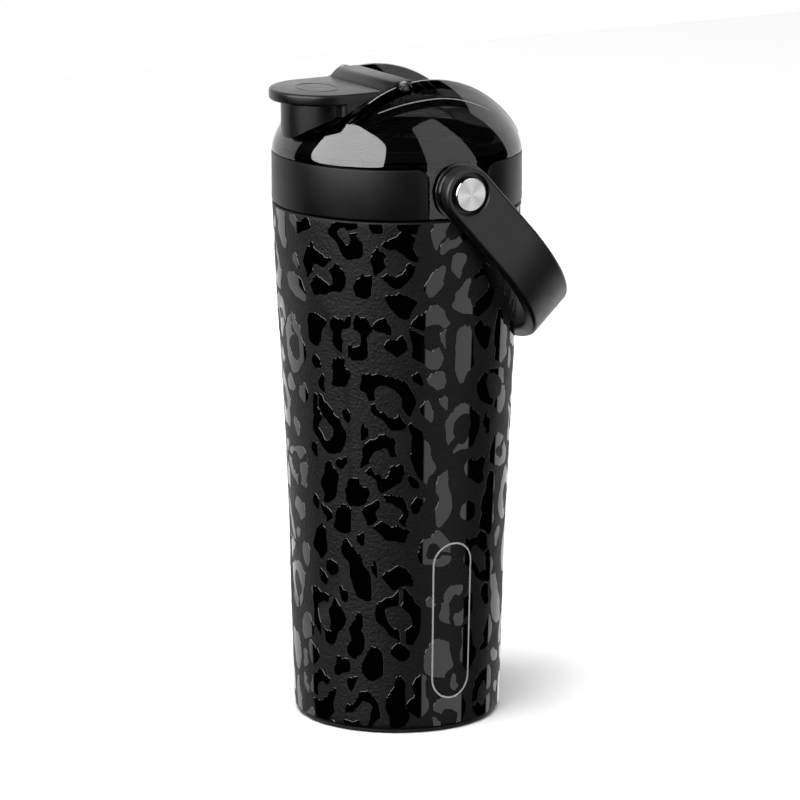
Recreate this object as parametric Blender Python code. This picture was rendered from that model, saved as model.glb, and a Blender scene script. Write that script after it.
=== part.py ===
"""Insulated protein shaker bottle: double-walled steel body, twist-on tinted lid with a flip cap
over its spout, and a swinging carry loop.

Frame: origin at the centre of the base on the bottle's axis, +Z up, the spout towards -Y, the
carry loop's pivots on +X and -X, the loop hanging down towards +Y. Metres.
"""
import math

import bmesh
import bpy
from mathutils import Matrix, Vector

MM = 0.001
GAP = 0.3 * MM                    # clearance between neighbouring pieces
ROUND = 40                        # facets round the bottle
SMALL_ROUND = 24                  # facets round pins, screws and bushings
SMOOTH_ANGLE = math.radians(35)

# bottle body
BASE_RADIUS = 37.05 * MM          # the side wall's line carried down to z = 0
LOWER_TAPER = 0.030               # radius gained per unit of height below the knee
UPPER_TAPER = 0.0434              # and above it
KNEE_Z = 60 * MM
BODY_TOP_Z = 187.9 * MM
SHELL_BOTTOM_Z = 1.7 * MM
WALL = 0.6 * MM                   # sheet thickness of both steel walls
VACUUM_GAP = 3.3 * MM             # between the two walls
GRIP_DEPTH = 0.9 * MM             # shallow thumb recess at the front
GRIP_CENTRE_Z = 99 * MM
GRIP_HALF_HEIGHT = 63 * MM
GRIP_HALF_ANGLE = math.radians(38)
GRIP_EDGE = 0.12                  # share of the recess taken by its soft edge
GRIP_POWER = 3                    # superellipse power of its outline

# neck and threads
NECK_RADIUS = 39.6 * MM
NECK_TOP_Z = 202.9 * MM
RIM_TOP_Z = 204.9 * MM
MOUTH_RADIUS = 38.1 * MM
THREAD_STARTS = 3
THREAD_LEAD = 12 * MM
THREAD_HEIGHT = 1.2 * MM
THREAD_ROOT_WIDTH = 2.2 * MM
THREAD_CREST_WIDTH = 1.0 * MM
THREAD_ROOT_SINK = 0.4 * MM       # how far a ridge's root goes into its wall
NECK_THREAD_Z = 191.5 * MM
NECK_THREAD_SWEEP = math.radians(150)
LID_THREAD_SWEEP = math.radians(120)
LID_THREAD_LIFT = 1.2 * MM         # how far up their own helix the lid's ridges start

# base
PAD_RADIUS = 36.4 * MM
PAD_FLANGE = 1.35 * MM
PAD_TOP_Z = 3.5 * MM
CAP_DISC_Z = 5.1 * MM
VESSEL_BOTTOM_Z = 9.0 * MM

# lid
LID_BOTTOM_Z = 188.3 * MM
LID_RADIUS = 44.5 * MM
DOME_Z = 207 * MM
DOME_HEIGHT = 31 * MM
DOME_POWER = 0.66                 # z = DOME_Z + DOME_HEIGHT * (1 - (r / LID_RADIUS)^2) ^ power
SKIRT_BORE = 41.2 * MM
LEDGE_Z = 207.5 * MM
LEDGE_TOP_Z = 209.7 * MM
PLUG_RADIUS = 36.8 * MM
PLUG_BORE = 35.0 * MM
PLUG_BOTTOM_Z = 200.5 * MM
CAVITY_RADIUS = 41.5 * MM
CAVITY_Z = 208 * MM
CAVITY_HEIGHT = 27.2 * MM
CHANNEL_HALF_WIDTH = 20.2 * MM
CHANNEL_TOP_Z = 226.2 * MM
CHANNEL_CREST_Y = 4 * MM
CHANNEL_FALL_FRONT = 5.7          # floor drop per square metre of distance in front of the crest
CHANNEL_FALL_REAR = 12.3          # and behind it
CHANNEL_WALL = 2.5 * MM
COLLAR_RADIUS = 44.6 * MM
COLLAR_INNER_RADIUS = 43.2 * MM
COLLAR_TOP_Z = 206.2 * MM
COLLAR_BOTTOM_Z = 188.4 * MM
WINDOW_HALF_WIDTH = 11.9 * MM     # half the break between the collar bands at each pivot
WINDOW_CORNER = 4.5 * MM

# spout and flip cap
SPOUT_Y = -29.5 * MM
SPOUT_RADIUS = 10.5 * MM
SPOUT_BORE = 8.2 * MM
SPOUT_TOP_Z = 224.5 * MM
SPOUT_BOTTOM_Z = 213 * MM
HINGE_Y = -9 * MM
HINGE_Z = 231.4 * MM
CAP_HALF_WIDTH = 19.5 * MM
CAP_TOP_Z = 230.8 * MM
CAP_PLATE = 4 * MM
CAP_REAR_Y = -16.7 * MM
CAP_BLOCK_Y = -32.6 * MM
CAP_BLOCK_INSET = 0.01 * MM       # keeps the block's sides off the plate's
COLUMN_RADIUS = 15.3 * MM
COLUMN_BORE = 12.6 * MM
CAP_SEAT_Z = 224.8 * MM           # underside of the sleeve behind the spout
BAR_FRONT_Y = -16.2 * MM
BAR_SLOPE_Y = -13.2 * MM
BAR_REAR_Y = -4.2 * MM
BAR_BOTTOM_Z = 229.1 * MM
BAR_TOP_Z = 233.8 * MM
EAR_OUTER_X = 22.4 * MM
EAR_RADIUS = 2.5 * MM
EAR_BOTTOM_Z = 224 * MM
PIN_RADIUS = 1.1 * MM
PIN_HOLE = 1.4 * MM
PIN_HEAD = 1.5 * MM
PIN_HEAD_X = 21.5 * MM

# carry loop
PIVOT_Z = 197.8 * MM
LOOP_ANGLE = math.radians(47.7)     # below horizontal, at rest against the back wall
LOOP_STRAIGHT = 27.0 * MM
LOOP_RADIUS = 48.9 * MM           # to the middle of the strap
STRAP_WIDTH = 19 * MM
STRAP_THICKNESS = 5.2 * MM
STRAP_EDGE = 1.4 * MM
SCREW_HEAD_RADIUS = 6.15 * MM
SCREW_FACE_X = 52.1 * MM
SCREW_HEAD_X = 49.4 * MM
SCREW_SHANK = 3.2 * MM
SCREW_TIP_X = 42.6 * MM
COUNTERBORE = 7.5 * MM
COUNTERBORE_X = 49.1 * MM
INSERT_RADIUS = 4.7 * MM
INSERT_INNER_X = 42.2 * MM
INSERT_OUTER_X = 44.3 * MM
BUSHING_RADIUS = 5.0 * MM
BUSHING_FLANGE = 10.6 * MM
BUSHING_STEP = 9.2 * MM            # narrower part of the flange beside the strap
BUSHING_FLANGE_X = 44.85 * MM
BUSHING_STEP_X = 45.45 * MM


# ---------- helpers ----------

def clear_scene():
    for obj in list(bpy.data.objects):
        bpy.data.objects.remove(obj, do_unlink=True)


def material(name, colour, roughness, metallic=0.0):
    mat = bpy.data.materials.new(name)
    mat.use_nodes = True
    shader = mat.node_tree.nodes["Principled BSDF"]
    shader.inputs["Base Color"].default_value = (*colour, 1.0)
    shader.inputs["Roughness"].default_value = roughness
    shader.inputs["Metallic"].default_value = metallic
    return mat


def finish_mesh(bm, name, mat):
    """Turn a bmesh into a named object with its faces out and its round faces smooth."""
    bmesh.ops.recalc_face_normals(bm, faces=bm.faces)
    mesh = bpy.data.meshes.new(name)
    bm.to_mesh(mesh)
    bm.free()
    mesh.shade_smooth()
    mesh.set_sharp_from_angle(angle=SMOOTH_ANGLE)
    obj = bpy.data.objects.new(name, mesh)
    bpy.context.collection.objects.link(obj)
    if mat:
        obj.data.materials.append(mat)
    return obj


def arc(centre, radius, start, end, steps):
    """Points on an arc in a plane, angles in degrees."""
    points = []
    for i in range(steps + 1):
        a = math.radians(start + (end - start) * i / steps)
        points.append((centre[0] + radius * math.cos(a), centre[1] + radius * math.sin(a)))
    return points


def lathe_mesh(profile, steps=ROUND):
    """Spin (radius, z) points round Z. A profile that starts and ends on the axis stays open there."""
    bm = bmesh.new()
    verts = [bm.verts.new((r, 0, z)) for r, z in profile]
    edges = [bm.edges.new(pair) for pair in zip(verts, verts[1:])]
    if profile[0][0] > 0:
        edges.append(bm.edges.new((verts[-1], verts[0])))
    bmesh.ops.spin(bm, geom=verts + edges, cent=(0, 0, 0), axis=(0, 0, 1), dvec=(0, 0, 0),
                   angle=2 * math.pi, steps=steps, use_merge=True)
    bmesh.ops.remove_doubles(bm, verts=bm.verts, dist=0.001 * MM)
    return bm


def lathe(name, profile, mat, steps=ROUND):
    return finish_mesh(lathe_mesh(profile, steps), name, mat)


def lathe_along_x(name, profile, mat, centre, side=1, steps=SMALL_ROUND):
    """Spin (radius, x) points round an axis along X through the centre. side mirrors it to -X."""
    bm = lathe_mesh(profile, steps)
    turn = Matrix.Rotation(side * math.pi / 2, 4, "Y")
    bmesh.ops.transform(bm, matrix=Matrix.Translation(centre) @ turn, verts=bm.verts)
    return finish_mesh(bm, name, mat)


def prism(name, outline, low, high, axis, mat):
    """Extrude a closed outline. Along X the outline is (y, z); along Z it is (x, y)."""
    bm = bmesh.new()
    if axis == "X":
        verts = [bm.verts.new((low, a, b)) for a, b in outline]
        step = (high - low, 0, 0)
    else:
        verts = [bm.verts.new((a, b, low)) for a, b in outline]
        step = (0, 0, high - low)
    face = bm.faces.new(verts)
    side = bmesh.ops.extrude_face_region(bm, geom=[face])["geom"]
    bmesh.ops.translate(bm, vec=step, verts=[v for v in side if isinstance(v, bmesh.types.BMVert)])
    return finish_mesh(bm, name, mat)


def as_cutter(obj):
    obj.hide_render = True
    obj.display_type = "WIRE"
    return obj


def boolean(obj, tool, operation):
    """Add an exact Boolean whose tool stays in the scene as a wire guide."""
    mod = obj.modifiers.new(tool.name, "BOOLEAN")
    mod.operation = operation
    mod.solver = "EXACT"
    mod.object = as_cutter(tool)
    return obj


# ---------- shared shapes ----------

def wall_radius(z):
    """Outer radius of the body's plain cone at a height."""
    return BASE_RADIUS + LOWER_TAPER * z + (UPPER_TAPER - LOWER_TAPER) * max(0.0, z - KNEE_Z)


def grip_recess(angle_from_front, z):
    """Depth of the thumb recess at a place on the wall."""
    u = abs(angle_from_front) / GRIP_HALF_ANGLE
    v = abs(z - GRIP_CENTRE_Z) / GRIP_HALF_HEIGHT
    t = (1 - (u ** GRIP_POWER + v ** GRIP_POWER) ** (1 / GRIP_POWER)) / GRIP_EDGE
    t = min(1.0, max(0.0, t))
    return GRIP_DEPTH * t * t * (3 - 2 * t)


def dome_profile(radius, base_z, height, start_radius, steps):
    """(radius, z) points of a dome from a radius near its edge up to the axis."""
    first = math.asin(start_radius / radius)
    points = []
    for i in range(steps + 1):
        r = radius * math.sin(first * (1 - i / steps))
        points.append((r, base_z + height * (1 - (r / radius) ** 2) ** DOME_POWER))
    return points


def channel_floor(y):
    fall = CHANNEL_FALL_FRONT if y < CHANNEL_CREST_Y else CHANNEL_FALL_REAR
    return CHANNEL_TOP_Z - fall * (y - CHANNEL_CREST_Y) ** 2


def channel_outline(drop, reach, steps=12):
    """(y, z) outline of everything above the channel floor, lowered by drop."""
    points = []
    for i in range(steps + 1):
        y = reach * (2 * i / steps - 1)
        points.append((y, channel_floor(y) - drop))
    top = DOME_Z + DOME_HEIGHT + 10 * MM
    return points + [(reach, top), (-reach, top)]


def thread_ridges(name, wall, inward, first_z, sweep, steps):
    """One helical ridge per start, tapered at both ends, its root sunk into the wall."""
    bm = bmesh.new()
    out = -1 if inward else 1
    for start in range(THREAD_STARTS):
        rows = []
        for i in range(steps + 1):
            angle = 2 * math.pi * start / THREAD_STARTS + sweep * i / steps
            z = first_z + THREAD_LEAD * sweep * i / steps / (2 * math.pi)
            full = min(1.0, 4 * i / steps, 4 * (1 - i / steps))
            root = wall - out * THREAD_ROOT_SINK
            crest = wall + out * THREAD_HEIGHT * (0.15 + 0.85 * full)
            section = [(root, -THREAD_ROOT_WIDTH / 2), (crest, -THREAD_CREST_WIDTH / 2),
                       (crest, THREAD_CREST_WIDTH / 2), (root, THREAD_ROOT_WIDTH / 2)]
            turn = Matrix.Rotation(angle, 4, "Z")
            rows.append([bm.verts.new(turn @ Vector((r, 0, z + dz))) for r, dz in section])
        for a, b in zip(rows, rows[1:]):
            for k in range(4):
                bm.faces.new((a[k], a[(k + 1) % 4], b[(k + 1) % 4], b[k]))
        bm.faces.new(rows[0])
        bm.faces.new(rows[-1])
    return finish_mesh(bm, name, None)


def band_outline(grow):
    """(y, z) outline of the front collar band seen along X, grown all round by a clearance."""
    edge = -WINDOW_HALF_WIDTH + grow
    top = COLLAR_TOP_Z + grow
    corner = WINDOW_CORNER + grow
    low = LID_BOTTOM_Z - 3 * MM
    far = -(COLLAR_RADIUS + 10 * MM)
    return [(far, low), (edge, low)] + arc((edge - corner, top - corner), corner, 0, 90, 6) + [(far, top)]


# ---------- bottle ----------

def outer_shell():
    """Powder-coated outer wall with the threaded neck."""
    heights = [z * MM for z in (3.2, 12, 34, 42, 52, 66, 99, 132, 146, 156, 164, 178)]
    outside = [(36.7 * MM, SHELL_BOTTOM_Z)] + [(wall_radius(z), z) for z in heights]
    outside += [(wall_radius(BODY_TOP_Z) - 0.1 * MM, BODY_TOP_Z - 0.7 * MM),
                (wall_radius(BODY_TOP_Z) - 0.7 * MM, BODY_TOP_Z)]
    neck = [(NECK_RADIUS + 0.7 * MM, BODY_TOP_Z), (NECK_RADIUS, BODY_TOP_Z + 0.7 * MM),
            (NECK_RADIUS, NECK_TOP_Z), (NECK_RADIUS - WALL, NECK_TOP_Z),
            (NECK_RADIUS - WALL, BODY_TOP_Z + 0.6 * MM), (NECK_RADIUS - 0.1 * MM, BODY_TOP_Z - WALL)]
    inside = [(wall_radius(BODY_TOP_Z) - 1.5 * WALL, BODY_TOP_Z - WALL)]
    inside += [(wall_radius(z) - WALL, z) for z in reversed(heights[1:])]
    inside += [(wall_radius(SHELL_BOTTOM_Z) - WALL, SHELL_BOTTOM_Z)]
    bm = lathe_mesh(outside + neck + inside)
    for v in bm.verts:
        radius = math.hypot(v.co.x, v.co.y)
        if v.co.z < BODY_TOP_Z - MM:
            shrink = 1 - grip_recess(math.atan2(v.co.x, -v.co.y), v.co.z) / radius
            v.co.x *= shrink
            v.co.y *= shrink
    shell = finish_mesh(bm, "outer_shell", material("powder_coat", (0.012, 0.012, 0.013), 0.45))
    ridges = thread_ridges("neck_thread", NECK_RADIUS, False, NECK_THREAD_Z, NECK_THREAD_SWEEP, 15)
    boolean(shell, ridges, "UNION")


def inner_vessel():
    """Stainless liner that holds the drink, with its rim rolled over the neck."""
    outer = WALL + VACUUM_GAP
    corner = 7 * MM
    side_z = VESSEL_BOTTOM_Z + corner
    low = wall_radius(side_z) - outer
    neck_in = BODY_TOP_Z + 0.5 * MM
    hip_z = 180 * MM
    outside = [(0, VESSEL_BOTTOM_Z)]
    outside += arc((low - corner, side_z), corner, -90, 0, 3)
    outside += [(wall_radius(z) - outer, z) for z in (KNEE_Z, hip_z)]
    outside += [(NECK_RADIUS - WALL - GAP, neck_in), (NECK_RADIUS - WALL - GAP, NECK_TOP_Z + GAP)]
    rim = [(NECK_RADIUS, NECK_TOP_Z + GAP), (NECK_RADIUS + 0.1 * MM, RIM_TOP_Z - 0.8 * MM),
           (NECK_RADIUS - 0.6 * MM, RIM_TOP_Z), (MOUTH_RADIUS + 0.5 * MM, RIM_TOP_Z),
           (MOUTH_RADIUS, RIM_TOP_Z - 0.6 * MM), (MOUTH_RADIUS, neck_in - 0.2 * MM)]
    inside = [(wall_radius(z) - outer - WALL, z) for z in (hip_z, KNEE_Z)]
    inside += arc((low - corner, side_z), corner - WALL, 0, -90, 3)
    inside += [(0, VESSEL_BOTTOM_Z + WALL)]
    lathe("inner_vessel", outside + rim + inside, material("liner_steel", (0.62, 0.62, 0.63), 0.32, 1.0))


def base_cap():
    """Pressed steel disc that closes the vacuum space, with the evacuation port at its centre."""
    flange = wall_radius(SHELL_BOTTOM_Z) - WALL - GAP
    port = 1.2 * MM
    profile = [(port, CAP_DISC_Z + WALL), (flange, CAP_DISC_Z + WALL), (flange, SHELL_BOTTOM_Z + 0.1 * MM),
               (flange - WALL, SHELL_BOTTOM_Z + 0.1 * MM), (flange - WALL, CAP_DISC_Z), (port, CAP_DISC_Z)]
    lathe("base_cap", profile, material("base_steel", (0.55, 0.55, 0.56), 0.35, 1.0))


def vacuum_seal():
    """Frit disc melted over the evacuation port."""
    low, high = PAD_TOP_Z + GAP, CAP_DISC_Z - GAP
    profile = [(0, low), (3.0 * MM, low), (3.6 * MM, low + 0.4 * MM), (3.6 * MM, high), (0, high)]
    lathe("vacuum_seal", profile, material("seal_frit", (0.05, 0.05, 0.05), 0.3), SMALL_ROUND)


def vacuum_getter():
    """Gas-absorbing ring fixed on the base disc, inside the vacuum."""
    low = CAP_DISC_Z + WALL + GAP
    high = low + 1.8 * MM
    profile = [(1.5 * MM, low), (1.5 * MM, high), (3.6 * MM, high), (4.0 * MM, high - 0.4 * MM),
               (4.0 * MM, low)]
    bm = lathe_mesh(profile, SMALL_ROUND)
    bmesh.ops.translate(bm, vec=(18 * MM, 0, 0), verts=bm.verts)
    finish_mesh(bm, "vacuum_getter", material("getter_metal", (0.4, 0.4, 0.42), 0.4, 1.0))


def base_pad():
    """Silicone foot that the bottle stands on."""
    boss = wall_radius(SHELL_BOTTOM_Z) - 2 * WALL - 2 * GAP
    profile = [(0, 0), (PAD_RADIUS - 0.9 * MM, 0), (PAD_RADIUS - 0.2 * MM, 0.4 * MM),
               (PAD_RADIUS, PAD_FLANGE), (boss, PAD_FLANGE), (boss, PAD_TOP_Z), (0, PAD_TOP_Z)]
    lathe("base_pad", profile, material("pad_silicone", (0.01, 0.01, 0.01), 0.6))


# ---------- lid ----------

def lid_cavity():
    """Hollow of the lid: thread bore, gasket seat, plug skirt and the space under the dome."""
    below = LID_BOTTOM_Z - 3 * MM
    profile = [(0, below), (SKIRT_BORE, below), (SKIRT_BORE, LEDGE_Z), (PLUG_RADIUS, LEDGE_Z),
               (PLUG_RADIUS, PLUG_BOTTOM_Z), (PLUG_BORE, PLUG_BOTTOM_Z), (PLUG_BORE, LEDGE_TOP_Z)]
    profile += dome_profile(CAVITY_RADIUS, CAVITY_Z, CAVITY_HEIGHT, 41.3 * MM, 6)
    cavity = lathe("lid_cavity", profile, None)
    half = CHANNEL_HALF_WIDTH + CHANNEL_WALL
    roof = prism("channel_wall", channel_outline(CHANNEL_WALL, 50 * MM), -half, half, "X", None)
    return boolean(cavity, roof, "DIFFERENCE")


def collar_pocket(name, sign):
    """Shallow recess of one collar band in the lid's skirt."""
    outline = [(sign * y, z) for y, z in band_outline(GAP)]
    pocket = prism(name, outline, -60 * MM, 60 * MM, "X", None)
    core_profile = [(0, 180 * MM), (COLLAR_INNER_RADIUS - GAP, 180 * MM),
                    (COLLAR_INNER_RADIUS - GAP, 215 * MM), (0, 215 * MM)]
    return boolean(pocket, lathe(name + "_core", core_profile, None), "DIFFERENCE")


def ear_outline():
    """(y, z) outline of the boss that stands on the lobe round the hinge pin."""
    return ([(HINGE_Y - EAR_RADIUS, EAR_BOTTOM_Z), (HINGE_Y + EAR_RADIUS, EAR_BOTTOM_Z)]
            + arc((HINGE_Y, HINGE_Z), EAR_RADIUS, 0, 180, 10))


def lid_shell():
    """Tinted lid: domed top with a channel for the cap, spout, hinge ears and threaded skirt."""
    profile = [(0, LID_BOTTOM_Z), (LID_RADIUS, LID_BOTTOM_Z), (LID_RADIUS, DOME_Z)]
    profile += dome_profile(LID_RADIUS, DOME_Z, DOME_HEIGHT, 44.3 * MM, 8)
    lid = lathe("lid_shell", profile, material("tinted_plastic", (0.006, 0.006, 0.007), 0.05))
    half = CHANNEL_HALF_WIDTH
    boolean(lid, prism("channel", channel_outline(0, 50 * MM), -half, half, "X", None), "DIFFERENCE")
    for name, low, high in (("ear_left", -EAR_OUTER_X, -half), ("ear_right", half, EAR_OUTER_X)):
        boolean(lid, prism(name, ear_outline(), low, high, "X", None), "UNION")
    boolean(lid, lid_cavity(), "DIFFERENCE")
    wall_middle = (SPOUT_RADIUS + SPOUT_BORE) / 2
    hole = lathe("spout_hole", [(0, 205 * MM), (wall_middle, 205 * MM), (wall_middle, 240 * MM), (0, 240 * MM)],
                 None, 36)
    hole.location.y = SPOUT_Y
    boolean(lid, hole, "DIFFERENCE")
    lip = 0.5 * MM
    spout = [(SPOUT_BORE, SPOUT_BOTTOM_Z), (SPOUT_RADIUS, SPOUT_BOTTOM_Z), (SPOUT_RADIUS, SPOUT_TOP_Z - lip),
             (SPOUT_RADIUS - lip, SPOUT_TOP_Z), (SPOUT_BORE + lip, SPOUT_TOP_Z), (SPOUT_BORE, SPOUT_TOP_Z - lip)]
    tube = lathe("spout_tube", spout, None, 32)
    tube.location.y = SPOUT_Y
    boolean(lid, tube, "UNION")
    boolean(lid, collar_pocket("front_pocket", 1), "DIFFERENCE")
    boolean(lid, collar_pocket("rear_pocket", -1), "DIFFERENCE")
    pivot = (0, 0, PIVOT_Z)
    for name, side in (("insert_bore_right", 1), ("insert_bore_left", -1)):
        radius, floor = INSERT_RADIUS + GAP, INSERT_INNER_X - GAP
        hole = [(0, floor), (radius, floor), (radius, 47 * MM), (0, 47 * MM)]
        boolean(lid, lathe_along_x(name, hole, None, pivot, side), "DIFFERENCE")
    head, seat, end = PIN_HEAD + GAP, PIN_HEAD_X - GAP, EAR_OUTER_X + 4 * MM
    pin_hole = [(0, -end), (head, -end), (head, -seat), (PIN_HOLE, -seat), (PIN_HOLE, seat), (head, seat),
                (head, end), (0, end)]
    boolean(lid, lathe_along_x("pin_bore", pin_hole, None, (0, HINGE_Y, HINGE_Z), 1, 20), "DIFFERENCE")
    half_pitch = THREAD_LEAD / THREAD_STARTS / 2
    ridges = thread_ridges("lid_thread", SKIRT_BORE, True, NECK_THREAD_Z - half_pitch + LID_THREAD_LIFT,
                           LID_THREAD_SWEEP, 12)
    ridges.rotation_euler.z = 2 * math.pi * LID_THREAD_LIFT / THREAD_LEAD
    boolean(lid, ridges, "UNION")


def collar_bands():
    """Front and rear bands clipped round the lid's skirt."""
    mat = material("collar_plastic", (0.015, 0.015, 0.016), 0.5)
    edge = 0.4 * MM
    ring = [(COLLAR_INNER_RADIUS, COLLAR_BOTTOM_Z), (COLLAR_RADIUS - edge, COLLAR_BOTTOM_Z),
            (COLLAR_RADIUS, COLLAR_BOTTOM_Z + edge), (COLLAR_RADIUS, COLLAR_TOP_Z - edge),
            (COLLAR_RADIUS - edge, COLLAR_TOP_Z), (COLLAR_INNER_RADIUS, COLLAR_TOP_Z)]
    for name, sign in (("collar_front", 1), ("collar_rear", -1)):
        band = lathe(name, ring, mat)
        outline = [(sign * y, z + (0.5 * MM if z > COLLAR_TOP_Z - 0.1 * MM else 0))
                   for y, z in band_outline(0)]
        boolean(band, prism(name + "_trim", outline, -60 * MM, 60 * MM, "X", None), "INTERSECT")


def lid_gasket():
    """Silicone ring between the lid's seat and the vessel's rim."""
    low, high = RIM_TOP_Z + GAP, LEDGE_Z - GAP
    inner, outer, edge = 37.2 * MM, 40.6 * MM, 0.5 * MM
    profile = [(inner, low), (inner, high), (outer - edge, high), (outer, high - edge), (outer, low)]
    lathe("lid_gasket", profile, material("gasket_silicone", (0.02, 0.02, 0.02), 0.55))


def agitator():
    """Snap-in mixing grid under the lid: a ring, a hub and slanted blades between them."""
    outer, inner, top, bottom = 34.6 * MM, 32.8 * MM, 204 * MM, 192 * MM
    mat = material("agitator_plastic", (0.02, 0.02, 0.021), 0.4)
    ring = [(inner, bottom), (outer, bottom), (outer, top - 1 * MM), (outer - 0.5 * MM, top), (inner, top)]
    grid = lathe("agitator", ring, mat)
    hub = lathe("agitator_hub", [(0, 190 * MM), (4 * MM, 190 * MM), (5 * MM, 191 * MM),
                                 (5 * MM, 198 * MM), (0, 198 * MM)], None, SMALL_ROUND)
    boolean(grid, hub, "UNION")
    blades = 6
    for i in range(blades):
        bm = bmesh.new()
        bmesh.ops.create_cube(bm, size=1)
        bmesh.ops.scale(bm, vec=(30 * MM, 1.6 * MM, 5 * MM), verts=bm.verts)
        tilt = Matrix.Rotation(math.radians(30), 4, "X")
        place = Matrix.Rotation(2 * math.pi * i / blades, 4, "Z") @ Matrix.Translation((18.6 * MM, 0, 194.6 * MM))
        bmesh.ops.transform(bm, matrix=place @ tilt, verts=bm.verts)
        boolean(grid, finish_mesh(bm, "agitator_blade_%d" % (i + 1), None), "UNION")


# ---------- flip cap ----------

def tongue_outline(rear_y):
    """(x, y) outline of the cap's plate: straight sides and a round front."""
    return [(CAP_HALF_WIDTH, rear_y)] + [(-CAP_HALF_WIDTH, rear_y)] + arc(
        (0, SPOUT_Y), CAP_HALF_WIDTH, 180, 360, 24)


def bar_outline():
    """(y, z) outline of the hinge bar: sloped in front, its long edges rounded."""
    r = 1.5 * MM
    points = arc((BAR_REAR_Y - r, BAR_TOP_Z - r), r, 0, 90, 3)
    points += arc((BAR_SLOPE_Y, BAR_TOP_Z - r), r, 90, 135, 2)
    points += [(BAR_FRONT_Y, CAP_TOP_Z)]
    points += arc((BAR_FRONT_Y + r, BAR_BOTTOM_Z + r), r, 180, 270, 3)
    return points + arc((BAR_REAR_Y - r, BAR_BOTTOM_Z + r), r, 270, 360, 3)


def underside_outline():
    """(y, z) outline of the space under the cap's sides, which rise with the lid's dome."""
    clearance = [(-46, 212.5), (-43.3, 215.8), (-41.3, 217.8), (-38.1, 219.7), (-34.5, 221.5),
                 (-30, 224.5), (-25.6, 226.8), (-21, 228.4), (-14, 228.4)]
    points = [(y * MM, z * MM) for y, z in clearance]
    return points + [(-14 * MM, 205 * MM), (-50 * MM, 205 * MM), (-50 * MM, 212.5 * MM)]


def flip_cap():
    """Cap with its thumb plate, the sleeve over the spout and the hinge bar."""
    mat = material("cap_plastic", (0.02, 0.02, 0.021), 0.5)
    cap = prism("flip_cap", tongue_outline(CAP_REAR_Y), CAP_TOP_Z - CAP_PLATE, CAP_TOP_Z, "Z", mat)
    edge = cap.modifiers.new("edge", "BEVEL")
    edge.width = 0.7 * MM
    edge.segments = 2
    edge.limit_method = "ANGLE"
    edge.angle_limit = math.radians(60)
    side = CAP_HALF_WIDTH - CAP_BLOCK_INSET
    block = [(-side, CAP_BLOCK_Y), (side, CAP_BLOCK_Y), (side, -20 * MM), (-side, -20 * MM)]
    boolean(cap, prism("cap_block", block, 219 * MM, CAP_TOP_Z - 2 * MM, "Z", None), "UNION")
    column = [(0, 210 * MM), (COLUMN_RADIUS, 210 * MM), (COLUMN_RADIUS, CAP_TOP_Z - 2 * MM),
              (0, CAP_TOP_Z - 2 * MM)]
    sleeve = lathe("cap_sleeve", column, None, 40)
    sleeve.location.y = SPOUT_Y
    boolean(cap, sleeve, "UNION")
    boolean(cap, prism("cap_underside", underside_outline(), -30 * MM, 30 * MM, "X", None), "DIFFERENCE")
    seat = [(0, CAP_SEAT_Z), (COLUMN_RADIUS - 0.3 * MM, CAP_SEAT_Z),
            (COLUMN_RADIUS - 0.3 * MM, CAP_TOP_Z - 1.6 * MM), (0, CAP_TOP_Z - 1.6 * MM)]
    seat_ring = lathe("cap_seat", seat, None, 40)
    seat_ring.location.y = SPOUT_Y
    boolean(cap, seat_ring, "UNION")
    bore_top = SPOUT_TOP_Z + 1.9 * MM
    bore = lathe("cap_bore", [(0, 205 * MM), (COLUMN_BORE, 205 * MM), (COLUMN_BORE, bore_top), (0, bore_top)],
                 None, 40)
    bore.location.y = SPOUT_Y
    boolean(cap, bore, "DIFFERENCE")
    web = [(-18.5 * MM, 227.2 * MM), (-9 * MM, 227.2 * MM), (-9 * MM, BAR_BOTTOM_Z + 1 * MM),
           (-18.5 * MM, BAR_BOTTOM_Z + 1 * MM)]
    inset = CAP_HALF_WIDTH - 1.5 * MM
    boolean(cap, prism("cap_web", web, -inset, inset, "X", None), "UNION")
    bar = prism("cap_bar", bar_outline(), -CAP_HALF_WIDTH, CAP_HALF_WIDTH, "X", None)
    boolean(cap, bar, "UNION")
    pin_hole = [(0, -30 * MM), (PIN_HOLE, -30 * MM), (PIN_HOLE, 30 * MM), (0, 30 * MM)]
    boolean(cap, lathe_along_x("cap_pin_bore", pin_hole, None, (0, HINGE_Y, HINGE_Z), 1, 16), "DIFFERENCE")


def cap_seal():
    """Silicone disc inside the cap whose boss plugs the spout."""
    low = SPOUT_TOP_Z + GAP
    high = low + 1.3 * MM
    outer, plug = 11.9 * MM, 6.9 * MM
    profile = [(0, low - 1.5 * MM), (plug - 0.6 * MM, low - 1.5 * MM), (plug, low - 0.8 * MM), (plug, low),
               (outer, low), (outer, high), (0, high)]
    bm = lathe_mesh(profile, 32)
    bmesh.ops.translate(bm, vec=(0, SPOUT_Y, 0), verts=bm.verts)
    finish_mesh(bm, "cap_seal", material("seal_silicone", (0.03, 0.03, 0.03), 0.6))


def hinge_pin():
    """Riveted steel pin through both ears and the cap's bar."""
    face, end = PIN_HEAD_X, EAR_OUTER_X
    profile = [(0, -end), (PIN_HEAD, -end), (PIN_HEAD, -face), (PIN_RADIUS, -face),
               (PIN_RADIUS, face), (PIN_HEAD, face), (PIN_HEAD, end), (0, end)]
    lathe_along_x("hinge_pin", profile, material("pin_steel", (0.6, 0.6, 0.61), 0.25, 1.0),
                  (0, HINGE_Y, HINGE_Z), 1, 16)


# ---------- carry loop ----------

def strap_section(half_width):
    """Rounded-rectangle section (outward, across) of the strap."""
    half = STRAP_THICKNESS / 2
    r = min(STRAP_EDGE, 0.8 * half_width)
    points = []
    for out, across, start in ((half - r, half_width - r, 0), (r - half, half_width - r, 90),
                               (r - half, r - half_width, 180), (half - r, r - half_width, 270)):
        points += arc((out, across), r, start, start + 90, 2)
    return points


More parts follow.
